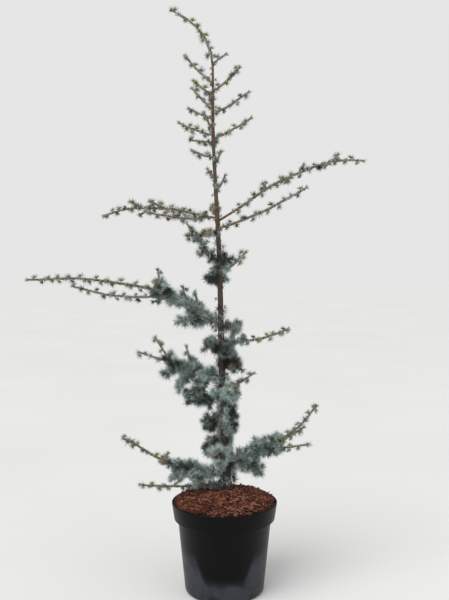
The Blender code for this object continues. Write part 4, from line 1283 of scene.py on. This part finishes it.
def needles_of(sprays, dice):
    """Every needle of some sprays as arrays: root, tip, bend, width and kind of colour."""
    counts = np.array([spray.count for spray in sprays])
    owner = np.repeat(np.arange(len(sprays)), counts)
    order = np.concatenate([np.arange(count) for count in counts])
    spots = np.array([spray.spot for spray in sprays])[owner]
    axes = np.array([spray.axis for spray in sprays])
    kinds = [dice.choice(len(KIND_NAMES), p=KIND_SHARES[spray.kinds]) for spray in sprays]
    side, other = frames_of(axes)
    side, other, axes = side[owner], other[owner], axes[owner]
    opening = np.radians(np.array([spray.opening for spray in sprays]))[owner]
    polar = opening * np.sqrt((order + 0.5) / counts[owner]) * dice.uniform(*OPENING_SPREAD, len(owner))
    around = np.radians(GOLDEN_ANGLE) * order + dice.uniform(-TURN_STRAY, TURN_STRAY, len(owner)) + owner
    out = side * np.cos(around)[:, None] + other * np.sin(around)[:, None]
    aim = axes * np.cos(polar)[:, None] + out * np.sin(polar)[:, None]
    length = np.array([spray.reach for spray in sprays])[owner] * dice.uniform(*NEEDLE_LENGTHS, len(owner))
    tips = spots + aim * length[:, None]
    across = axes - aim * (axes * aim).sum(1, keepdims=True)
    bends = -across * (length * NEEDLE_CURVE)[:, None]
    widths = NEEDLE_WIDTH * dice.uniform(*NEEDLE_WIDTHS, len(owner))
    keep = clear_of_solids(tips) & clear_of_solids(spots + (tips - spots) * 0.5)
    return spots[keep], tips[keep], bends[keep], widths[keep], np.array(kinds)[owner][keep]


def clear_of_solids(points):
    """Whether points are above the mulch and the rim, and outside the trunk."""
    x, y, z = points.T
    free = (z > mulch_height(x, y) + NEEDLE_ROOM) | (np.hypot(x, y) > RIM_RADIUS + RIM_ROOM)
    line = np.array(TRUNK_LINE)
    far = np.hypot(x - np.interp(z, line[:, 2], line[:, 0]), y - np.interp(z, line[:, 2], line[:, 1]))
    radii = np.array([trunk_radius(max(height, FLARE_LEVEL)) for height in line[:, 2]])
    return free & (far > np.interp(z, line[:, 2], radii))


def group_of(name):
    """The group of pieces that a mass belongs to, by where it grows."""
    return name.split("_")[0]


def grow_mass(mass, boughs):
    """The tubes of a mass's twigs and fine twigs, and every spray on them."""
    dice = random.Random(mass.name + " needles")
    group = group_of(mass.name)
    spacing = AIRY_SPACING if group == "rising" else FINE_SPACING
    tubes, sprays, fine = [], [], []
    for twig in mass.twigs:
        line, radii = fine_line(twig.line, twig.radii, TUBE_STEP)
        knobs = 1 + KNOB_SIZE * np.sin(np.arange(len(line)) * KNOB_RATE)
        tubes.append(loft(line, np.maximum(radii, SPARSE_RADIUS) * knobs, TUBE_SIDES)[0])
        sprays += sprays_on(mass, twig, dice)
        if mass.limb.fan:
            start = twig.lush_from * (FINE_ROOT if twig.number == 0 else 1)
            fine += fine_twigs(mass, line, start, min(twig.lush_to, marks_of(line)[-1]), spacing, dice)
    for name, line, _ in boughs:
        if name == f"bough_{mass.name}" and group != "high":
            start = trunk_radius(mass.limb.height)
            fine += fine_twigs(mass, line, start, marks_of(line)[-1], spacing, dice)
    for line in fine:
        tubes.append(loft(line, [FINE_RADIUS] * len(line), FINE_SIDES)[0])
        sprays += sprays_on_fine(mass, line, dice)
    return tubes, sprays


def make_foliage(masses, boughs, twig_bark, needle_materials):
    """Twigs and needles of every mass, each kind joined by group."""
    groups = {}
    for mass in masses:
        groups.setdefault(group_of(mass.name), []).append(mass)
    on_trunk = sprays_on_trunk()
    for number, (group, members) in enumerate(groups.items()):
        tubes, sprays = [], list(on_trunk.get(group, []))
        for mass in members:
            more_tubes, more_sprays = grow_mass(mass, boughs)
            tubes += more_tubes
            sprays += more_sprays
        nodes = [f"needles_{mass.name}" for mass in members]
        vertices, faces = join_tubes(tubes)
        twigs = new_piece(f"twigs_{group}", vertices, faces, [twig_bark])
        roots, tips, bends, widths, kinds = needles_of(sprays, np.random.default_rng(number))
        vertices, faces, each = spindles(roots, tips, bends, widths)
        kinds = np.repeat(kinds, each)
        needles = new_piece(f"needles_{group}_sprays", vertices, faces, needle_materials, kinds)
        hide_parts(*nodes)
        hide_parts(*nodes)


def make_spurs(material):
    """The short woody spurs that carry the sparse sprays."""
    roots, tips = (np.array([spur[i] for spur in SPURS]) for i in (0, 1))
    tips = tips + (tips - roots) * SPUR_OVERLAP
    widths = np.full(len(roots), SPUR_WIDTH)
    vertices, faces, _ = spindles(roots, tips, np.zeros_like(roots), widths)
    new_piece("spurs", vertices, faces, [material])


def make_limbs(boughs, trunk_bark, bough_bark):
    """Trunk and boughs with the relief of their bark."""
    line = cut_line(TRUNK_LINE, 0, TRUNK_LENGTH)
    line, _ = fine_line(line, [0] * len(line), TRUNK_RELIEF.step)
    knots = [limb.height for limb in all_limbs().values()]
    rings = barked(line, [trunk_radius(point.z) for point in line], TRUNK_RELIEF, knots)
    trunk = new_piece("trunk_bark", *tube_mesh(rings), [trunk_bark])
    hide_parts("trunk")
    tubes = []
    for _, line, radii in boughs:
        points, radii = fine_line(line, radii, BOUGH_RELIEF.step)
        tubes.append(barked(points, radii, BOUGH_RELIEF))
    limbs = new_piece("boughs_bark", *join_tubes(tubes), [bough_bark])
    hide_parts(*[name for name, _, _ in boughs])


def arc(middle, radius, first, last, steps):
    """Points of an arc in a profile, between two angles in degrees."""
    angles = [math.radians(first + (last - first) * i / steps) for i in range(steps + 1)]
    return [(middle[0] + radius * math.cos(a), middle[1] + radius * math.sin(a)) for a in angles]


def make_pot(material):
    """The nursery pot, turned from its profile, with its drain holes cut through the base."""
    band_foot = POT_HEIGHT - BAND_HEIGHT
    ledge = BAND_LEDGE / 2
    profile = [
        (0, POT_WALL),
        *wall_inside(),
        *arc((RIM_RADIUS - RIM_ROUND, POT_HEIGHT - RIM_ROUND), RIM_ROUND, 150, -20, 8),
        (RIM_RADIUS - RIM_LIP, POT_HEIGHT - RIM_DEPTH),
        (BAND_FOOT_RADIUS + BAND_SWELL, band_foot + BAND_LEDGE),
        *arc((BAND_FOOT_RADIUS - ledge, band_foot + ledge), ledge, 0, -90, 5),
        (BODY_RADIUS + NECK_FLARE, band_foot),
        (BODY_RADIUS, band_foot - BAND_LEDGE),
        *arc((BASE_RADIUS - BASE_ROUND, BASE_ROUND), BASE_ROUND, 0, -90, 8),
        (0, 0),
    ]
    mesh = bpy.data.meshes.new("nursery_pot")
    edges = [(i, i + 1) for i in range(len(profile) - 1)]
    mesh.from_pydata([(radius, 0, height) for radius, height in profile], edges, [])
    pot = bpy.data.objects.new("nursery_pot", mesh)
    bpy.context.scene.collection.objects.link(pot)
    screw = pot.modifiers.new("turn", "SCREW")
    screw.steps = screw.render_steps = POT_STEPS
    screw.use_merge_vertices = True
    screw.merge_threshold = POT_WELD
    screw.use_normal_calculate = True
    cutters = []
    for i in range(DRAIN_HOLES):
        spot = DRAIN_CIRCLE * heading(DRAIN_BEARING + 360 * i / DRAIN_HOLES, 0)
        bpy.ops.mesh.primitive_cylinder_add(
            vertices=DRAIN_SIDES, radius=DRAIN_RADIUS, depth=4 * POT_WALL, location=spot
        )
        cutters.append(bpy.context.object)
        cut = pot.modifiers.new(f"drain_{i + 1}", "BOOLEAN")
        cut.operation = "DIFFERENCE"
        cut.object = cutters[-1]
    bpy.context.view_layer.update()
    graph = bpy.context.evaluated_depsgraph_get()
    solid = bpy.data.meshes.new_from_object(pot.evaluated_get(graph), depsgraph=graph)
    pot.modifiers.clear()
    pot.data = solid
    solid.materials.clear()
    solid.materials.append(material)
    solid.shade_smooth()
    solid.set_sharp_from_angle(angle=math.radians(POT_SHARP))
    for cutter in cutters:
        bpy.data.objects.remove(cutter, do_unlink=True)
    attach(pot, "root")
    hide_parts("pot")


def make_chips(materials):
    """Bark chips strewn over the mulch's mound: torn slivers, each with its own size, lie and colour."""
    dice = np.random.default_rng(7)
    count = CHIP_COUNT * CHIP_TRIES
    length, width, thickness = (
        dice.uniform(*sizes, count) for sizes in (CHIP_LENGTHS, CHIP_WIDTHS, CHIP_THICKNESSES)
    )
    radius = inner_radius(MULCH_EDGE) * np.sqrt(dice.uniform(0, 1, count))
    bearing = dice.uniform(0, math.tau, count)
    x, y = radius * np.cos(bearing), radius * np.sin(bearing)
    turn, tilt = dice.uniform(0, math.tau, count), np.radians(CHIP_TILT) * dice.uniform(-1, 1, count)
    ahead = np.stack([np.cos(turn) * np.cos(tilt), np.sin(turn) * np.cos(tilt), np.sin(tilt)], axis=1)
    roll = dice.uniform(-CHIP_ROLL, CHIP_ROLL, count)
    level = np.stack([-np.sin(turn), np.cos(turn), np.zeros(count)], axis=1)
    up = np.cross(ahead, level)
    side = level * np.cos(roll)[:, None] + up * np.sin(roll)[:, None]
    up = np.cross(ahead, side)
    middle = np.stack([x, y, mulch_height(x, y) + dice.uniform(*CHIP_LIFT, count)], axis=1)
    rings = []
    for place, wide, thick in CHIP_SECTIONS:
        along = place + dice.uniform(-CHIP_SHIFT, CHIP_SHIFT, count)
        bow = dice.uniform(-CHIP_BOW, CHIP_BOW, count) * length
        centre = middle + ahead * (along * length)[:, None] + up * bow[:, None]
        for across, high in CHIP_CORNERS:
            half = width / 2 * wide * dice.uniform(*CHIP_TEAR, count)
            rise = thickness / 2 * thick * dice.uniform(*CHIP_TEAR, count)
            rings.append(centre + side * (across * half)[:, None] + up * (high * rise)[:, None])
    corners = np.stack(rings, axis=1)
    reach = np.hypot(corners[..., 0], corners[..., 1]).max(1)
    foot = trunk_point(MULCH_TOP)
    near = np.hypot(corners[..., 0] - foot.x, corners[..., 1] - foot.y).min(1)
    inside = reach < inner_radius(MULCH_EDGE) - CHIP_WALL_ROOM
    keep = inside & (near > trunk_radius(MULCH_TOP) + CHIP_TRUNK_ROOM)
    corners = corners[keep][:CHIP_COUNT]
    sides, total = len(CHIP_CORNERS), corners.shape[1]
    one = [(3, 2, 1, 0), (12, 13, 14, 15)]
    for ring in range(0, total - sides, sides):
        for k in range(sides):
            after = (k + 1) % sides
            one.append((ring + k, ring + after, ring + sides + after, ring + sides + k))
    faces = (np.arange(len(corners))[:, None, None] * total + np.array(one)[None]).reshape(-1, sides)
    kinds = np.repeat(dice.choice(len(materials), len(corners), p=CHIP_SHARES), len(one))
    chips = new_piece("bark_chips", corners.reshape(-1, 3), faces, materials, kinds, smooth=False)


def repaint(node, material):
    """Gives a CAD node that stays as it is its finished material."""
    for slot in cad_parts[node].material_slots:
        slot.material = material


add_camera()
add_studio()
TRUNK_LINE = trunk_line()
SPACE = Space()
SPURS = []

make_pot(moulded_black_polypropylene())
repaint("root_ball", crumbly("damp_peat_potting_soil", "#1d140f", "#3a281d", 4))
repaint("bark_mulch", crumbly("bark_mulch_fines", "#25140e", "#452519", 5))
make_chips(
    [
        shredded_bark("dark_bark_chip", "#2c1812", "#4b2a1f"),
        shredded_bark("red_brown_bark_chip", "#4d261a", "#6e3826"),
        shredded_bark("orange_brown_bark_chip", "#6c3724", "#955539"),
        shredded_bark("pale_bark_chip", "#84543e", "#b07c5e"),
    ]
)
trunk = cut_line(TRUNK_LINE, 0, TRUNK_LENGTH)
SPACE.add_line("trunk", 0, trunk, [trunk_radius(point.z) for point in trunk])
leader = leader_mass()
masses, boughs = lay_limbs(all_limbs())
make_limbs(
    boughs,
    young_bark("young_cedar_trunk_bark", ("#2c221e", "#4d3f36"), ("#443127", "#735847"), (0.62, 1.05), 2.6),
    young_bark("cedar_bough_bark", ("#41362e", "#685a4e"), ("#4c382d", "#7b6150"), (0.55, 0.95), 2.2),
)
twig_bark = young_bark("cedar_twig_bark", ("#52453c", "#7d6f62"), ("#655548", "#948069"), (0.4, 1.0), 1.6)
make_foliage(
    [leader, *masses],
    boughs,
    twig_bark,
    [waxy_needle(f"{name}_needle", *colors) for name, colors in NEEDLE_COLORS.items()],
)
make_spurs(twig_bark)
